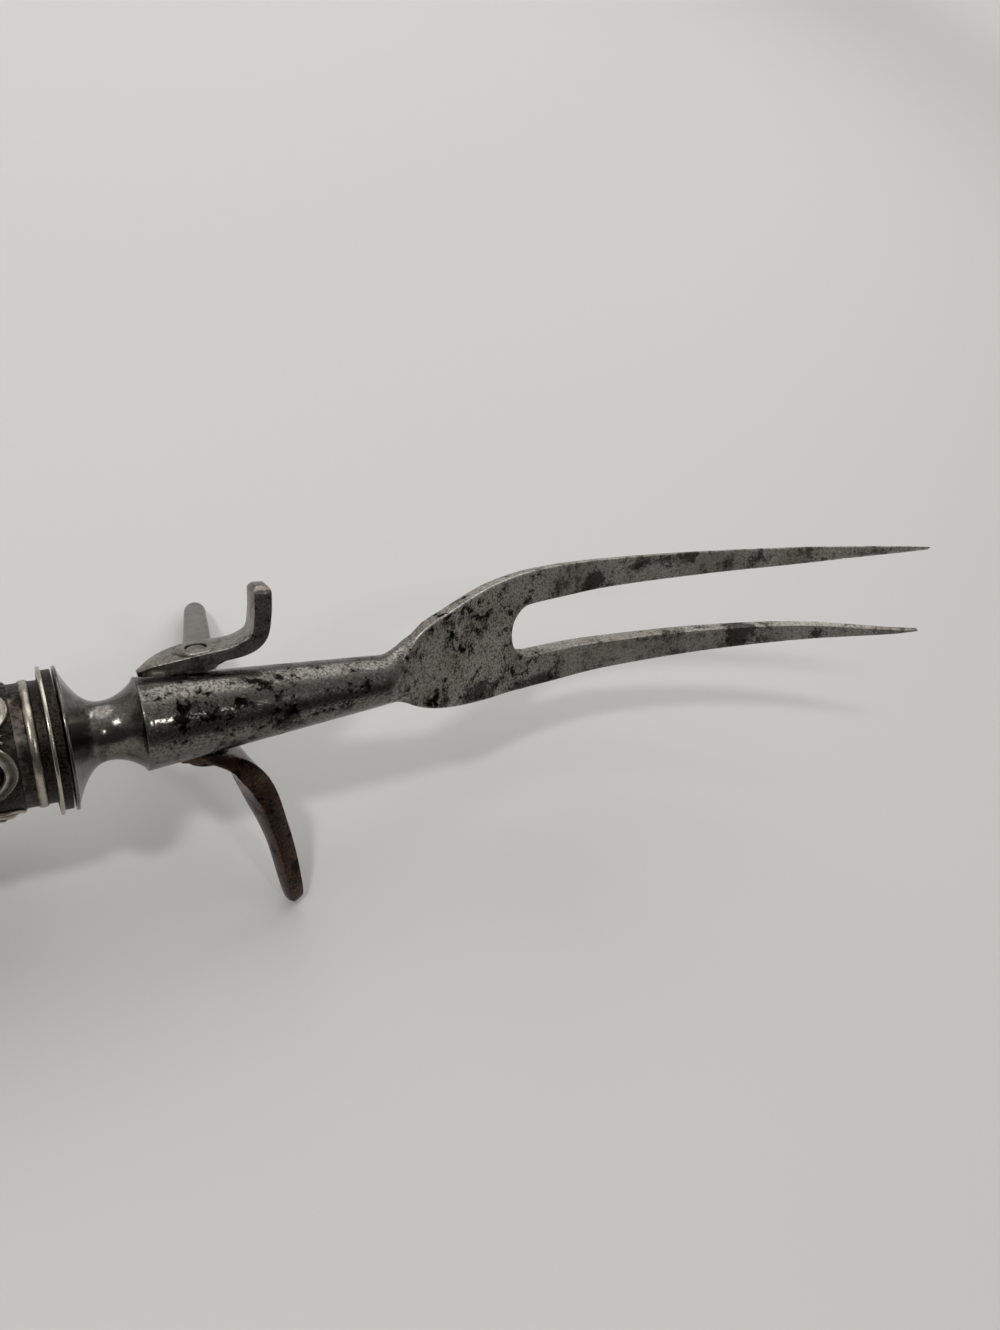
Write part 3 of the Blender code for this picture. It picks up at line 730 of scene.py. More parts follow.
def ribbon_section(h, w):
    """Flat bar section with a slightly crowned outer face: pairs across its thickness and its width."""
    cut = min(RIBBON_EDGE, RIBBON_EDGE_SHARE * h, RIBBON_EDGE_SHARE * w)
    crown = min(RIBBON_CROWN, RIBBON_CROWN_SHARE * h)
    face = h - crown
    bends = [(cut * (1 - cos(a)), cut * (1 - sin(a))) for a in quarter(RIBBON_EDGE_N)]
    points = [(h - crown * s * s, s * (w - cut)) for s in spaced(-1, 1, RIBBON_FACE_N)]
    points += [(face - a, w - b) for a, b in bends[1:]]
    points.append((0.0, w))
    points += [(-h + b, w - a) for a, b in bends]
    points += [(-h, s * (w - cut)) for s in spaced(1, -1, RIBBON_BACK_N)[1:-1]]
    points += [(-h + a, -w + b) for a, b in bends]
    points.append((0.0, -w))
    points += [(face - b, -w + a) for a, b in bends[:-1]]
    return points


def ribbon(name, side, path, thick, width, shift, end, twist=0.0):
    """Flat bar along a path off one of the shank's flats, twisted on its way, with its far end rounded."""
    places = [(PIN_X + x, side * (FLAT_Y + height)) for x, height in smooth_path(path, RIBBON_STEPS)]
    last = places[-1]
    rings = []
    for i, (x, y) in enumerate(places):
        a, b = places[max(i - 1, 0)], places[min(i + 1, len(places) - 1)]
        along = Vector((b[0] - a[0], b[1] - a[1], 0)).normalized()
        across = Vector((-along.y, along.x, 0)) * side
        t = i / (len(places) - 1)
        z = PIN_Z + through(shift, t)
        close = max(0.0, 1 - math.dist((x, y), last) / end)
        slim = 1 - END_SLIM * close**END_POWER
        section = ribbon_section(through(thick, t) / 2 * slim, through(width, t) / 2 * slim)
        turn = twist * ease(t, *TWIST_SPAN)
        out = across * cos(turn) + Vector((0, 0, sin(turn)))
        up = Vector((0, 0, cos(turn))) - across * sin(turn)
        rings.append([Vector((x, y, z)) + out * u + up * v for u, v in section])
    return loft(name, rings)


def add_eye(arm, side, eye):
    """Eye for the pin, from the shank's flat up through an arm."""
    radius, height = eye
    seat = FLAT_Y + GAP
    top = seat + height
    round_top = [(side * (top - EYE_EDGE + EYE_EDGE * sin(a)), radius - EYE_EDGE * (1 - cos(a)))
                 for a in quarter(EYE_EDGE_N)]
    combine(arm, cross_rod("eye", [(side * seat, radius)] + round_top, EYE_SIDES), "UNION")


def leaf_lever():
    """Leaf-shaped thumb lever with a foot under its leaf and a bent finger."""
    lever = ribbon("leaf_lever", 1, LEVER_PATH, LEVER_THICK, LEVER_WIDTH, LEVER_SHIFT, LEVER_END)
    add_eye(lever, 1, LEVER_EYE)
    combine(lever, ribbon("foot", 1, FOOT_PATH, FOOT_THICK, FOOT_WIDTH, FOOT_SHIFT, FOOT_END), "UNION")
    drill(lever)
    return lever


def curved_arm():
    """Curved horn that stands out of the other flat."""
    arm = ribbon("curved_arm", -1, ARM_PATH, ARM_THICK, ARM_WIDTH, ARM_SHIFT, ARM_END, ARM_TWIST)
    add_eye(arm, -1, ARM_EYE)
    drill(arm)
    return arm


def cross_pin():
    """Pin through shank, prong and arms, hammered to a dome at each end."""
    seat = FLAT_Y + GAP + PIN_STAND
    dome = [(PIN_HEAD_L, PIN_R)]
    dome += [(PIN_DOME * (1 - sin(a)), PIN_HEAD_R * cos(a)) for a in spaced(0, PIN_DOME_TURN, PIN_DOME_N)]
    stations = [(-seat - ARM_EYE[1] + depth, r) for depth, r in reversed(dome)]
    stations += [(seat + LEVER_EYE[1] - depth, r) for depth, r in dome]
    return cross_rod("hammered_pin", stations, PIN_SIDES)


# Silver handle

def silver_collar():
    """Collar with its rolled lip, plain band and the sleeve that goes into the shells."""
    groove_r = LIP_R - LIP_GROOVE_DEPTH
    sleeve_r = SHELL_R[0][1] - SHELL_T - GAP
    bends = [(LIP_EDGE * (1 - cos(a)), LIP_EDGE * (1 - sin(a))) for a in quarter(LIP_EDGE_N)]
    profile = [(SILVER_X, BORE_R), (SILVER_X, groove_r), (LIP_X, groove_r)]
    profile += [(LIP_X - a, LIP_R - b) for a, b in bends]
    profile += [(BAND_X + b, LIP_R - a) for a, b in bends]
    profile += [(BAND_X - BAND_FILLET, BAND_R + BAND_FILLET), (BAND_X - 3 * BAND_FILLET, BAND_R)]
    profile += [(SHELL_X, BAND_R), (SHELL_X, sleeve_r), (SLEEVE_X, sleeve_r), (SLEEVE_X, BORE_R)]
    return turned("silver_collar", profile)


def bead_wire():
    """Round wire seated on the collar's band."""
    centre_r = BEAD_SEAT_R + GAP + BEAD_R
    return turned("bead_wire", [(BEAD_X + BEAD_HALF_W * cos(a), centre_r + BEAD_R * sin(a))
                                for a in circle(BEAD_SIDES)])


def shell_radius(x):
    """Handle's outline, drawn in at its front end to meet the collar's band."""
    meet = ease(x, SHELL_X - SHELL_MEET_L, SHELL_X)
    return through(SHELL_R, (SHELL_X - x) / SHELL_L) * (1 - meet) + (BAND_R + SHELL_MEET_RISE) * meet


def butt_cap():
    """Hollow domed cap with a plain band at its rim."""
    def dome(inset):
        end, rim = BUTT_X + inset, BUTT_RIM_X - BUTT_BAND
        radius = BUTT_R - inset
        return [(end + (rim - end) * (1 - cos(a)), BUTT_FLAT_R + (radius - BUTT_FLAT_R) * sin(a))
                for a in quarter(BUTT_N)]

    outside = dome(0) + [(BUTT_RIM_X - BUTT_EDGE, BUTT_R), (BUTT_RIM_X, BUTT_R - BUTT_EDGE)]
    inside = [(SHELL_BACK_X - GAP, BUTT_R - BUTT_T)] + dome(BUTT_T)[::-1]
    return loft("domed_butt", [[(x, r * cos(a), r * sin(a)) for a in circle(TURNED_SIDES)]
                               for x, r in outside + inside])


def silver_shell(name, start):
    """Half of the stamped handle, open at both ends."""
    seam = SEAM / 2 / SHELL_R[0][1]
    xs = spaced(SHELL_BACK_X, SHELL_X, SHELL_N)
    profile = [(x, shell_radius(x)) for x in xs]
    profile += [(x, shell_radius(x) - SHELL_T) for x in xs[::-1]]
    return loft(name, [[(x, r * cos(a), r * sin(a)) for x, r in profile]
                       for a in spaced(start + seam, start + pi - seam, SHELL_RIBS)])


# Materials, and the kinds of node that come up often

MAP_RANGE = "ShaderNodeMapRange"
MATH = "ShaderNodeMath"
COMBINE = "ShaderNodeCombineXYZ"
NOISE = "ShaderNodeTexNoise"
MIX = "ShaderNodeMix"
INSTANCES = "GeometryNodeInstanceOnPoints"


def srgb(code):
    """Linear colour of a hex value."""
    parts = [int(code[i:i + 2], 16) / 255 for i in (1, 3, 5)]
    return tuple(c / 12.92 if c <= 0.04045 else ((c + 0.055) / 1.055) ** 2.4 for c in parts) + (1.0,)


def fill(tree, node, inputs):
    """Sets or links inputs by name or place. A node given for an input is linked from its first output."""
    for key, value in inputs.items():
        source = value.outputs[0] if isinstance(value, bpy.types.Node) else value
        if isinstance(source, bpy.types.NodeSocket):
            tree.links.new(source, node.inputs[key])
        else:
            node.inputs[key].default_value = source


def add(tree, kind, inputs=None, **settings):
    """Adds a node with its settings and inputs."""
    made = tree.nodes.new(kind)
    for name, value in settings.items():
        setattr(made, name, value)
    fill(tree, made, inputs or {})
    return made


def start_material(name):
    """New material with its tree, its shader and the fork's own millimetres as a texture place."""
    made = bpy.data.materials.new(name)
    made.use_nodes = True
    tree = made.node_tree
    shader = tree.nodes["Principled BSDF"]
    spot = add(tree, "ShaderNodeTexCoord").outputs["Object"]
    place = add(tree, "ShaderNodeMapping",
                {"Vector": spot, "Location": OWN.translation, "Scale": (MM, MM, MM),
                 "Rotation": OWN.to_euler()}, vector_type="TEXTURE")
    return made, tree, shader, place


def paint(obj, name, measure):
    """Float attribute on a piece's points, from a function of their places in the fork's own millimetres."""
    spots = np.empty(len(obj.data.vertices) * 3)
    obj.data.vertices.foreach_get("co", spots)
    values = measure(*spots.reshape(-1, 3).T)
    layer = obj.data.attributes.new(name, "FLOAT", "POINT")
    layer.data.foreach_set("value", np.asarray(values, np.float32))


def edge_wear_and_highlight(x, y, z):
    """Bright line along the crisp edges of face and tines, as a share: rubbed wear, with a painted highlight where
    the edges catch the light.
    """
    xs = np.linspace(APEX_X, TIP_X, EDGE_SAMPLES)
    level, outer, bow = (np.interp(x, xs, [through(points, v) for v in xs])
                         for points in (FACE, HALF_WIDTH, LOWER_BOW))
    inner = np.interp(x, xs, [half_split(max(v, CROTCH_X)) for v in xs])
    across = abs(y) - np.where(y < 0, bow, 0.0)
    side = np.minimum(abs(across - outer), np.where(x > CROTCH_X + 1, abs(across - inner), np.inf))
    near = np.clip(EDGE_SOFT - np.maximum(abs(z - level), side) / EDGE_LINE, 0, 1)
    fade = np.interp(x, EDGE_FADE, (1.0, EDGE_LEFT))
    return near * fade * (x > APEX_X + 1)


def forging_stains(x, y, z):
    """Darker places where the steel lay damp."""
    depth = np.zeros_like(x)
    for sx, sy, along, across, strength in STAINS:
        far = ((x - sx) / along) ** 2 + ((y - sy) / across) ** 2
        depth = np.maximum(depth, strength * np.exp(-far))
    return depth


def collar_height(x, y, z):
    """The thin lip is rubbed pale, the band behind the bead is dull, and the rest is black."""
    r = np.hypot(y, z)
    band = np.where(x > BEAD_X, 0.0, BAND_WEAR)
    band = np.where(r < BAND_R - BAND_WEAR_DEPTH, 0.0, band)
    return np.where(r > LIP_R - LIP_WEAR_DEPTH, LIP_WEAR, band)


def bead_height(x, y, z):
    return np.clip((np.hypot(y, z) - BAND_R) / BEAD_WEAR_H, 0, 1)


def scroll_height(x, y, z):
    """How far a point of the scrolls stands out of the shell, as a share."""
    xs = np.linspace(SHELL_BACK_X, SHELL_X, SCROLL_SAMPLES)
    ground = np.interp(x, xs, [shell_radius(v) for v in xs])
    return np.clip((np.hypot(y, z) - ground) / SCROLL_PROUD, 0, 1)


def forged_steel(name, pale, grey, brown, pit_share, brown_share, polish, round_dim=0.0):
    """Hand-forged carbon steel that was wiped but never repolished.

    The eye sees a grey satin metal, thickly freckled with fine dark rust pits, with brown tints, ragged damp
    stains and brighter edges, rubbed and with a painted highlight. The round parts behind the paddle carry
    painted shade that stands in for the dark room their steel mirrors.
    """
    made, tree, shader, place = start_material(name)
    x = add(tree, "ShaderNodeSeparateXYZ", {0: place}).outputs["X"]
    past_step = add(tree, MAP_RANGE,
                    {0: x, 1: STEP_X - STEP_SOFT, 2: STEP_X + STEP_SOFT, 3: WAIST_PITS, 4: 1.0})
    on_tines = add(tree, MAP_RANGE,
                   {0: x, 1: TINE_FADE[0], 2: TINE_FADE[1], 3: 1.0, 4: TINE_PITS},
                   interpolation_type="SMOOTHSTEP")
    amount = add(tree, MATH, {0: past_step, 1: on_tines}, operation="MULTIPLY")
    marks = {}
    for mark, size, detail, roughness in STEEL_MARKS:
        marks[mark] = add(tree, NOISE,
                          {"Vector": place, "Scale": 1 / size, "Detail": detail, "Roughness": roughness})
    stain = add(tree, "ShaderNodeAttribute", attribute_name="stain").outputs["Fac"]
    edge = add(tree, "ShaderNodeAttribute", attribute_name="edge").outputs["Fac"]

    lean = add(tree, MAP_RANGE, {0: marks["patch"], 1: NOISE_LOW, 2: NOISE_HIGH, 3: -PIT_DRIFT, 4: PIT_DRIFT})
    drifted = add(tree, MATH, {0: marks["mottle"], 1: lean}, operation="ADD")
    blotch = add(tree, MAP_RANGE,
                 {0: drifted, 1: MOTTLE_FROM, 2: MOTTLE_FROM + MOTTLE_SOFT, 3: 0.0, 4: pit_share})
    freckle = add(tree, MAP_RANGE,
                  {0: marks["freckle"], 1: FRECKLE_FROM, 2: FRECKLE_FROM + FRECKLE_SOFT, 3: 0.0,
                   4: FRECKLE_SHARE * pit_share})
    depth = add(tree, MATH, {0: blotch, 1: freckle}, operation="MAXIMUM")
    pits = add(tree, MATH, {0: depth, 1: amount}, operation="MULTIPLY")

    shade = add(tree, MAP_RANGE, {0: marks["grain"], 1: NOISE_LOW, 2: NOISE_HIGH})
    rust = add(tree, MAP_RANGE, {0: marks["patch"], 1: BROWN_FROM, 2: BROWN_FULL, 3: 0.0, 4: brown_share})
    # Painted shade: flange, waist, shank and neck are darkened, fading out over the neck, for the dark room their
    # steel mirrors
    round_shade_share = add(tree, MAP_RANGE, {0: x, 1: NECK_X, 2: PADDLE_X, 3: round_dim, 4: 0.0})
    ragged = add(tree, MATH, {0: marks["freckle"], 1: RAGGED, 2: marks["cloud"]}, operation="MULTIPLY_ADD")
    damp = add(tree, MATH, {0: ragged, 1: stain}, operation="ADD")
    dark = add(tree, MAP_RANGE, {0: damp, 1: STAIN_FROM, 2: STAIN_FROM + STAIN_SOFT, 3: 0.0, 4: STAIN_SHARE})
    # Pale edge line, rubbed wear with a painted highlight, broken up by the cloud noise
    patchy = add(tree, MAP_RANGE, {0: marks["cloud"], 1: RUB_FROM, 2: RUB_TO, 3: RUB_MOST, 4: RUB_LEAST})
    rubbed = add(tree, MATH, {0: edge, 1: patchy}, operation="MULTIPLY")
    colour = srgb(grey)
    for share, coat in ((shade, pale), (rust, brown), (round_shade_share, PAINTED_SHADE_STEEL), (dark, DAMP_STAIN),
                        (pits, PIT_BLACK), (rubbed, RUBBED_EDGE_AND_HIGHLIGHT)):
        colour = add(tree, MIX, {0: share, 6: colour, 7: srgb(coat)}, data_type="RGBA").outputs[2]

    rough = add(tree, MAP_RANGE,
                {0: marks["cloud"], 1: NOISE_LOW, 2: NOISE_HIGH, 3: polish, 4: polish + POLISH_DRIFT})
    dull = add(tree, MIX, {0: pits, 2: rough, 3: PIT_ROUGH})
    flat_face = add(tree, MAP_RANGE, {0: x, 1: NECK_X, 2: PADDLE_X, 3: ROUND_GLOSS, 4: FACE_DULL})
    gloss = add(tree, MATH, {0: dull, 1: flat_face}, operation="MULTIPLY")

    lift = add(tree, MATH, {0: marks["grain"], 1: GRAIN_LIFT}, operation="MULTIPLY")
    sunk = add(tree, MATH, {0: lift, 1: pits}, operation="SUBTRACT")
    bump = add(tree, "ShaderNodeBump", {"Height": sunk, "Distance": PIT_DEPTH * MM, "Strength": PIT_BUMP})
    fill(tree, shader, {"Base Color": colour, "Roughness": gloss, "Metallic": 1.0, "Normal": bump})
    return made


def oxidised_silver():
    """Stamped silver, blackened in its hollows and rubbed pale on its high places.

    The height attribute says how far a point is out of the hollows.
    """
    made, tree, shader, place = start_material("oxidised_silver")
    height = add(tree, "ShaderNodeAttribute", attribute_name="height").outputs["Fac"]
    smear = add(tree, NOISE,
                {"Vector": place, "Scale": 1 / SMEAR_MM, "Detail": SMEAR_DETAIL, "Roughness": SMEAR_ROUGH})
    grit = add(tree, NOISE, {"Vector": place, "Scale": 1 / GRIT_MM, "Detail": GRIT_DETAIL})
    wander = add(tree, MAP_RANGE, {0: smear, 1: NOISE_LOW, 2: NOISE_HIGH, 3: -SMEAR_DRIFT, 4: SMEAR_DRIFT})
    worn = add(tree, MATH, {0: height, 1: wander}, operation="ADD")
    shine = add(tree, MAP_RANGE, {0: worn, 1: SHINE_FROM, 2: SHINE_FULL}, interpolation_type="SMOOTHSTEP")
    tarnish = add(tree, MAP_RANGE, {0: grit, 1: TARNISH_FROM, 2: TARNISH_FULL})
    colour = srgb(BLACK_SILVER)
    for share, coat in ((tarnish, BROWN_SILVER), (shine, RUBBED_SILVER)):
        colour = add(tree, MIX, {0: share, 6: colour, 7: srgb(coat)}, data_type="RGBA").outputs[2]
    rough = add(tree, MAP_RANGE, {0: shine, 3: HOLLOW_ROUGH, 4: RUBBED_ROUGH})
    bump = add(tree, "ShaderNodeBump", {"Height": grit, "Distance": GRIT_DEPTH * MM, "Strength": GRIT_BUMP})
    fill(tree, shader, {"Base Color": colour, "Roughness": rough, "Metallic": 1.0, "Normal": bump})
    return made


def hardened_pitch():
    """Black filling pitch: dull, with soft flow marks."""
    made, tree, shader, place = start_material("hardened_pitch")
    flow = add(tree, NOISE, {"Vector": place, "Scale": 1 / FLOW_MM, "Detail": FLOW_DETAIL})
    colour = add(tree, MIX, {0: flow, 6: srgb(PITCH_DARK), 7: srgb(PITCH_PALE)}, data_type="RGBA")
    fill(tree, shader, {"Base Color": colour.outputs[2], "Roughness": PITCH_ROUGH})
    return made


# Scrollwork

def scroll_tree(look):
    """Node tree for rows of scrollwork on a flat field.

    Each row is a waving stem, and each bend of it holds a volute, an eye, leaves and a fan.
    """
    tree = bpy.data.node_groups.new("scroll_rows", "GeometryNodeTree")
    tree.interface.new_socket("Geometry", in_out="OUTPUT", socket_type="NodeSocketGeometry")
    for name in ("Step", "Row step", "Volute radius", "Strand"):
        tree.interface.new_socket(name, in_out="INPUT", socket_type="NodeSocketFloat")
    for name in ("Columns", "Rows"):
        tree.interface.new_socket(name, in_out="INPUT", socket_type="NodeSocketInt")
    sizes = add(tree, "NodeGroupInput").outputs

    # Section of a strand, hollowed along its middle
    rim = add(tree, "GeometryNodeCurvePrimitiveCircle", {"Resolution": STRAND_N, "Radius": 1.0})
    rim_place = add(tree, "GeometryNodeInputPosition")
    rim_xyz = add(tree, "ShaderNodeSeparateXYZ", {0: rim_place}).outputs
    sideways = add(tree, MATH, {0: rim_xyz["X"], 1: 2.0}, operation="POWER")
    hollow = add(tree, MAP_RANGE, {0: sideways, 1: 0.0, 2: STRAND_RIM_FROM, 3: STRAND_HOLLOW, 4: STRAND_RIM})
    height = add(tree, MATH, {0: rim_xyz["Y"], 1: hollow}, operation="MULTIPLY")
    flat = add(tree, MATH, {0: height, 1: STRAND_RISE}, operation="MULTIPLY")
    reeded = add(tree, COMBINE, {"X": rim_xyz["X"], "Y": flat})
    profile = add(tree, "GeometryNodeSetPosition", {"Geometry": rim, "Position": reeded})

    # Volute
    spiral = add(tree, "GeometryNodeCurveSpiral",
                 {"Resolution": VOLUTE_N, "Rotations": VOLUTE_TURNS, "Height": 0.0,
                  "Start Radius": VOLUTE_START_R, "End Radius": sizes["Volute radius"]})
    share = add(tree, "GeometryNodeSplineParameter").outputs["Factor"]
    taper = add(tree, MAP_RANGE, {0: share, 1: 0.0, 2: STRAND_FULL, 3: STRAND_TIP, 4: 1.0})
    thick = add(tree, MATH, {0: taper, 1: sizes["Strand"]}, operation="MULTIPLY")
    sized = add(tree, "GeometryNodeSetCurveRadius", {"Curve": spiral, "Radius": thick})
    volute = add(tree, "GeometryNodeCurveToMesh",
                 {"Curve": sized, "Profile Curve": profile, "Fill Caps": True})

    # Eye, and leaves along the outer turn of the volute
    ball = add(tree, "GeometryNodeMeshUVSphere",
               {"Segments": BALL_SEGMENTS, "Rings": BALL_RINGS, "Radius": 1.0})
    eye = add(tree, "GeometryNodeTransform", {"Geometry": ball, "Scale": EYE_SHAPE})
    lobe = add(tree, "GeometryNodeTransform",
               {"Geometry": ball, "Translation": LOBE_SHIFT, "Scale": LOBE_SHAPE})
    along = add(tree, "GeometryNodeCurveToPoints", {"Curve": spiral, "Count": LEAF_N}, mode="COUNT")
    tangent = along.outputs["Tangent"]
    inward = add(tree, "ShaderNodeVectorMath", {0: tangent, 1: (0.0, 0.0, -1.0)}, operation="CROSS_PRODUCT")
    leaning = add(tree, "ShaderNodeVectorMath",
                  {0: inward, 1: tangent, 2: (-1.0, -1.0, -1.0)}, operation="MULTIPLY_ADD")
    turn = add(tree, "FunctionNodeAlignRotationToVector", {"Vector": leaning}, axis="X")
    order = add(tree, "GeometryNodeInputIndex")
    leafy = add(tree, "FunctionNodeCompare",
                {2: order, 3: LEAF_FIRST}, data_type="INT", operation="GREATER_THAN")
    grow = add(tree, MAP_RANGE, {0: order, 1: LEAF_FIRST, 2: LEAF_N - 1, 3: LEAF_SMALL, 4: LEAF_LARGE})
    leaves = add(tree, INSTANCES,
                 {"Points": along, "Selection": leafy, "Instance": lobe, "Rotation": turn, "Scale": grow})

    # Fan of ribs between two rows
    fan_low = add(tree, MATH, {0: sizes["Row step"], 1: -0.5, 2: FAN_LIFT}, operation="MULTIPLY_ADD")
    fan_root = add(tree, COMBINE, {"Y": fan_low})
    fan_spots = add(tree, "GeometryNodeMeshLine",
                    {"Count": FAN_N, "Start Location": fan_root, "Offset": (0.0, 0.0, 0.0)})
    spread = add(tree, MAP_RANGE, {0: order, 1: 0.0, 2: FAN_N - 1, 3: FAN_EDGE, 4: pi - FAN_EDGE})
    fan_turn = add(tree, COMBINE, {"Z": spread})
    from_middle = add(tree, MATH, {0: order, 1: (FAN_N - 1) / 2}, operation="SUBTRACT")
    apart = add(tree, MATH, {0: from_middle}, operation="ABSOLUTE")
    reach = add(tree, MAP_RANGE, {0: apart, 1: 0.0, 2: (FAN_N - 1) / 2, 3: FAN_SHORT, 4: FAN_LONG})
    rib_size = add(tree, COMBINE, {"X": reach, "Y": FAN_RIB, "Z": FAN_RIB})
    fan = add(tree, INSTANCES,
              {"Points": fan_spots, "Instance": lobe, "Rotation": fan_turn, "Scale": rib_size})
    motif = add(tree, "GeometryNodeJoinGeometry")
    for part in (volute, leaves, eye, fan):
        tree.links.new(part.outputs[0], motif.inputs[0])

    # Row of motifs, every other one turned over
    step_way = add(tree, COMBINE, {"X": sizes["Step"]})
    spots = add(tree, "GeometryNodeMeshLine", {"Count": sizes["Columns"], "Offset": step_way})
    odd = add(tree, MATH, {0: order, 1: 2.0}, operation="MODULO")
    flip = add(tree, MAP_RANGE, {0: odd, 3: 1.0, 4: -1.0})
    mirrored = add(tree, COMBINE, {"X": 1.0, "Y": flip, "Z": 1.0})
    volutes = add(tree, INSTANCES, {"Points": spots, "Instance": motif, "Scale": mirrored})

    # Waving stem
    last = add(tree, MATH, {0: sizes["Columns"], 1: 1.0}, operation="SUBTRACT")
    run = add(tree, MATH, {0: last, 1: sizes["Step"]}, operation="MULTIPLY")
    run_end = add(tree, COMBINE, {"X": run})
    line = add(tree, "GeometryNodeCurvePrimitiveLine", {"End": run_end})
    fine = add(tree, "GeometryNodeResampleCurve", {"Curve": line, "Count": STEM_N})
    spot_x = add(tree, "ShaderNodeSeparateXYZ", {0: rim_place}).outputs["X"]
    phase = add(tree, MATH, {0: spot_x, 1: sizes["Step"]}, operation="DIVIDE")
    angle = add(tree, MATH, {0: phase, 1: pi}, operation="MULTIPLY")
    wave = add(tree, MATH, {0: angle}, operation="COSINE")
    bend = add(tree, MATH, {0: wave, 1: sizes["Volute radius"]}, operation="MULTIPLY")
    swing = add(tree, COMBINE, {"Y": bend})
    waved = add(tree, "GeometryNodeSetPosition", {"Geometry": fine, "Offset": swing})
    stem_sized = add(tree, "GeometryNodeSetCurveRadius", {"Curve": waved, "Radius": sizes["Strand"]})
    stem = add(tree, "GeometryNodeCurveToMesh",
               {"Curve": stem_sized, "Profile Curve": profile, "Fill Caps": True})
    row = add(tree, "GeometryNodeJoinGeometry")
    for part in (volutes, stem):
        tree.links.new(part.outputs[0], row.inputs[0])

    row_way = add(tree, COMBINE, {"Y": sizes["Row step"]})
    row_spots = add(tree, "GeometryNodeMeshLine", {"Count": sizes["Rows"], "Offset": row_way})
    rows = add(tree, INSTANCES, {"Points": row_spots, "Instance": row, "Scale": mirrored})
    solid = add(tree, "GeometryNodeRealizeInstances", {0: rows})
    finished = add(tree, "GeometryNodeSetMaterial", {"Geometry": solid, "Material": look})
    add(tree, "NodeGroupOutput", {0: finished})
    return tree


def scrollwork(name, start, look):
    """Scrolls of one half of the handle, drawn flat and then wrapped onto the shell."""
    obj = link_object(name, bpy.data.meshes.new(name))
    rows = obj.modifiers.new("scrolls", "NODES")
    rows.node_group = scroll_tree(look)
    row_step = pi * SCROLL_R / SCROLL_ROWS
    sizes = {"Step": SCROLL_STEP, "Row step": row_step, "Volute radius": VOLUTE_R, "Strand": STRAND_R,
             "Columns": SCROLL_COLUMNS, "Rows": SCROLL_ROWS}
    for item in rows.node_group.interface.items_tree:
        if item.in_out == "INPUT":
            rows[item.identifier] = sizes[item.name]
    settle(obj)
    back = SHELL_X - SCROLL_MARGIN - (SCROLL_COLUMNS - 1) * SCROLL_STEP
    for v in obj.data.vertices:
        u, across, rise = v.co
        x = back + u
        angle = start + (across + row_step / 2) / SCROLL_R
        r = shell_radius(x) + rise
        v.co = (x, r * cos(angle), r * sin(angle))
    face_outwards(obj.data)
    return obj


# Floor, light and camera

def floor():
    """Plain pale table top, matt as a painted board."""
    mesh = bpy.data.meshes.new("table")
    corners = [(x * FLOOR_REACH, y * FLOOR_REACH, 0) for x, y in ((-1, -1), (1, -1), (1, 1), (-1, 1))]
    mesh.from_pydata(corners, [], [(0, 1, 2, 3)])
    table = link_object("table", mesh)
    look = bpy.data.materials.new("pale_table")
    look.use_nodes = True
    tree = look.node_tree
    fill(tree, tree.nodes["Principled BSDF"], {"Base Color": srgb(FLOOR_COLOUR), "Roughness": FLOOR_ROUGH})
    mesh.materials.append(look)


def lamp(name, place, aim, size, power):
    light = bpy.data.lights.new(name, "AREA")
    light.shape = "DISK"
    light.size = size
    light.energy = power
    obj = link_object(name, light)
    obj.location = place
    obj.rotation_euler = (Vector(aim) - Vector(place)).to_track_quat("-Z", "Y").to_euler()


def camera():
    """Camera at the photograph's place, in the fork's own frame."""
    data = bpy.data.cameras.new("photo_camera")
    data.sensor_fit = "HORIZONTAL"
    data.sensor_width = SENSOR_MM
    data.lens = LENS_MM
    obj = link_object("photo_camera", data)
    turn = Euler(CAMERA_TURN).to_matrix().to_4x4()
    obj.matrix_world = OWN @ (Matrix.Translation(Vector(CAMERA_SHIFT) * MM) @ turn).inverted()
    bpy.context.scene.camera = obj


def studio_world():
    """Soft room light, brightest overhead and behind the fork, and dark where the viewer stands."""
    world = bpy.data.worlds.new("studio")
    world.use_nodes = True
    tree = world.node_tree
    way = add(tree, "ShaderNodeTexCoord").outputs["Generated"]
    sides = add(tree, "ShaderNodeSeparateXYZ", {0: way}).outputs
    level = add(tree, MAP_RANGE,
                {0: sides["Z"], 1: 0.0, 2: ROOM_TOP, 3: ROOM_LOW, 4: ROOM_HIGH},
                interpolation_type="SMOOTHSTEP")
    front = add(tree, MAP_RANGE,
                {0: sides["Y"], 1: FRONT_FROM, 2: FRONT_TO, 3: ROOM_FRONT, 4: 1.0},
                interpolation_type="SMOOTHSTEP")
    glow = add(tree, MATH, {0: level, 1: front}, operation="MULTIPLY")
    fill(tree, tree.nodes["Background"], {"Color": ROOM_COLOUR, "Strength": glow})
    bpy.context.scene.world = world


# The dressed fork

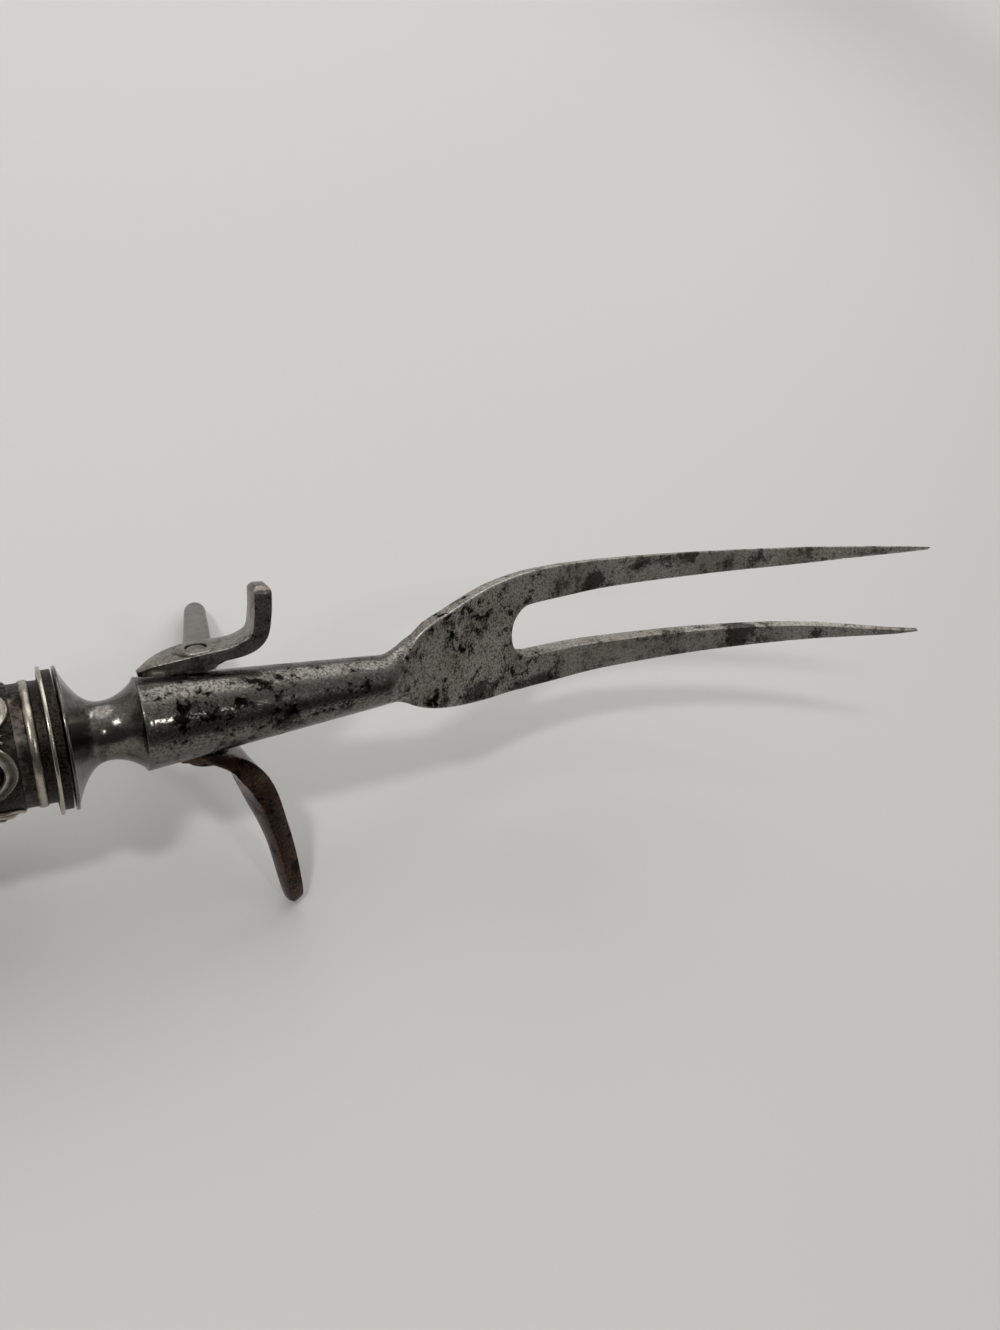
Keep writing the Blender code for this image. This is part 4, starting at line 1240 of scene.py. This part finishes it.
STEEL = forged_steel("forged_steel", "#c4c0b8", "#8a857d", "#645243",
                     pit_share=1.0, brown_share=0.3, polish=0.32, round_dim=ROUND_DIM)
PRONG_STEEL = forged_steel("smooth_prong_steel", "#7c7872", "#64605a", "#54483d",
                           pit_share=0.3, brown_share=0.2, polish=0.34)
LEVER_STEEL = forged_steel("worn_lever_steel", "#aaa59d", "#7b766e", "#55443a",
                           pit_share=0.6, brown_share=0.5, polish=0.58)
RUSTY = forged_steel("rusted_arm_steel", "#62564d", "#352e29", "#573a2a",
                     pit_share=0.85, brown_share=0.6, polish=0.3)
SILVER = oxidised_silver()
PITCH = hardened_pitch()


def dress_silver(obj, measure, *nodes):
    paint(obj, "height", measure)
    place_piece(obj, SILVER, "fork", "old_silver", *nodes)


head = forged_head()
paint(head, "edge", edge_wear_and_highlight)
paint(head, "stain", forging_stains)
place_piece(head, STEEL, "fork", "aged_steel", "fork_head")
place_piece(guard_prong(), PRONG_STEEL, "guard", "aged_steel", "guard_prong")
place_piece(leaf_lever(), LEVER_STEEL, "guard", "aged_steel", "thumb_lever")
place_piece(curved_arm(), RUSTY, "guard", "rusted_steel", "side_arm")
place_piece(cross_pin(), LEVER_STEEL, "guard", "aged_steel", "cross_pin")
dress_silver(silver_collar(), collar_height, "ferrule")
dress_silver(bead_wire(), bead_height, "bead_ring")
dress_silver(butt_cap(), lambda x, y, z: np.full_like(x, BUTT_WEAR), "butt_cap")
for half, start in (("front", 0.0), ("back", pi)):
    shell = silver_shell(f"shell_{half}", start)
    dress_silver(shell, lambda x, y, z: np.full_like(x, SHELL_WEAR), f"handle_shell_{half}")
    dress_silver(scrollwork(f"scrolls_{half}", start, SILVER), scroll_height)
for node, look in (("guard_spring", STEEL), ("spring_rivet", STEEL), ("pitch_core", PITCH)):
    carried = frame["nodes"][node]
    carried.data.materials.clear()
    carried.data.materials.append(look)

floor()
for row in LAMPS:
    lamp(*row)
camera()
studio_world()
bpy.context.scene.view_settings.view_transform = "Standard"
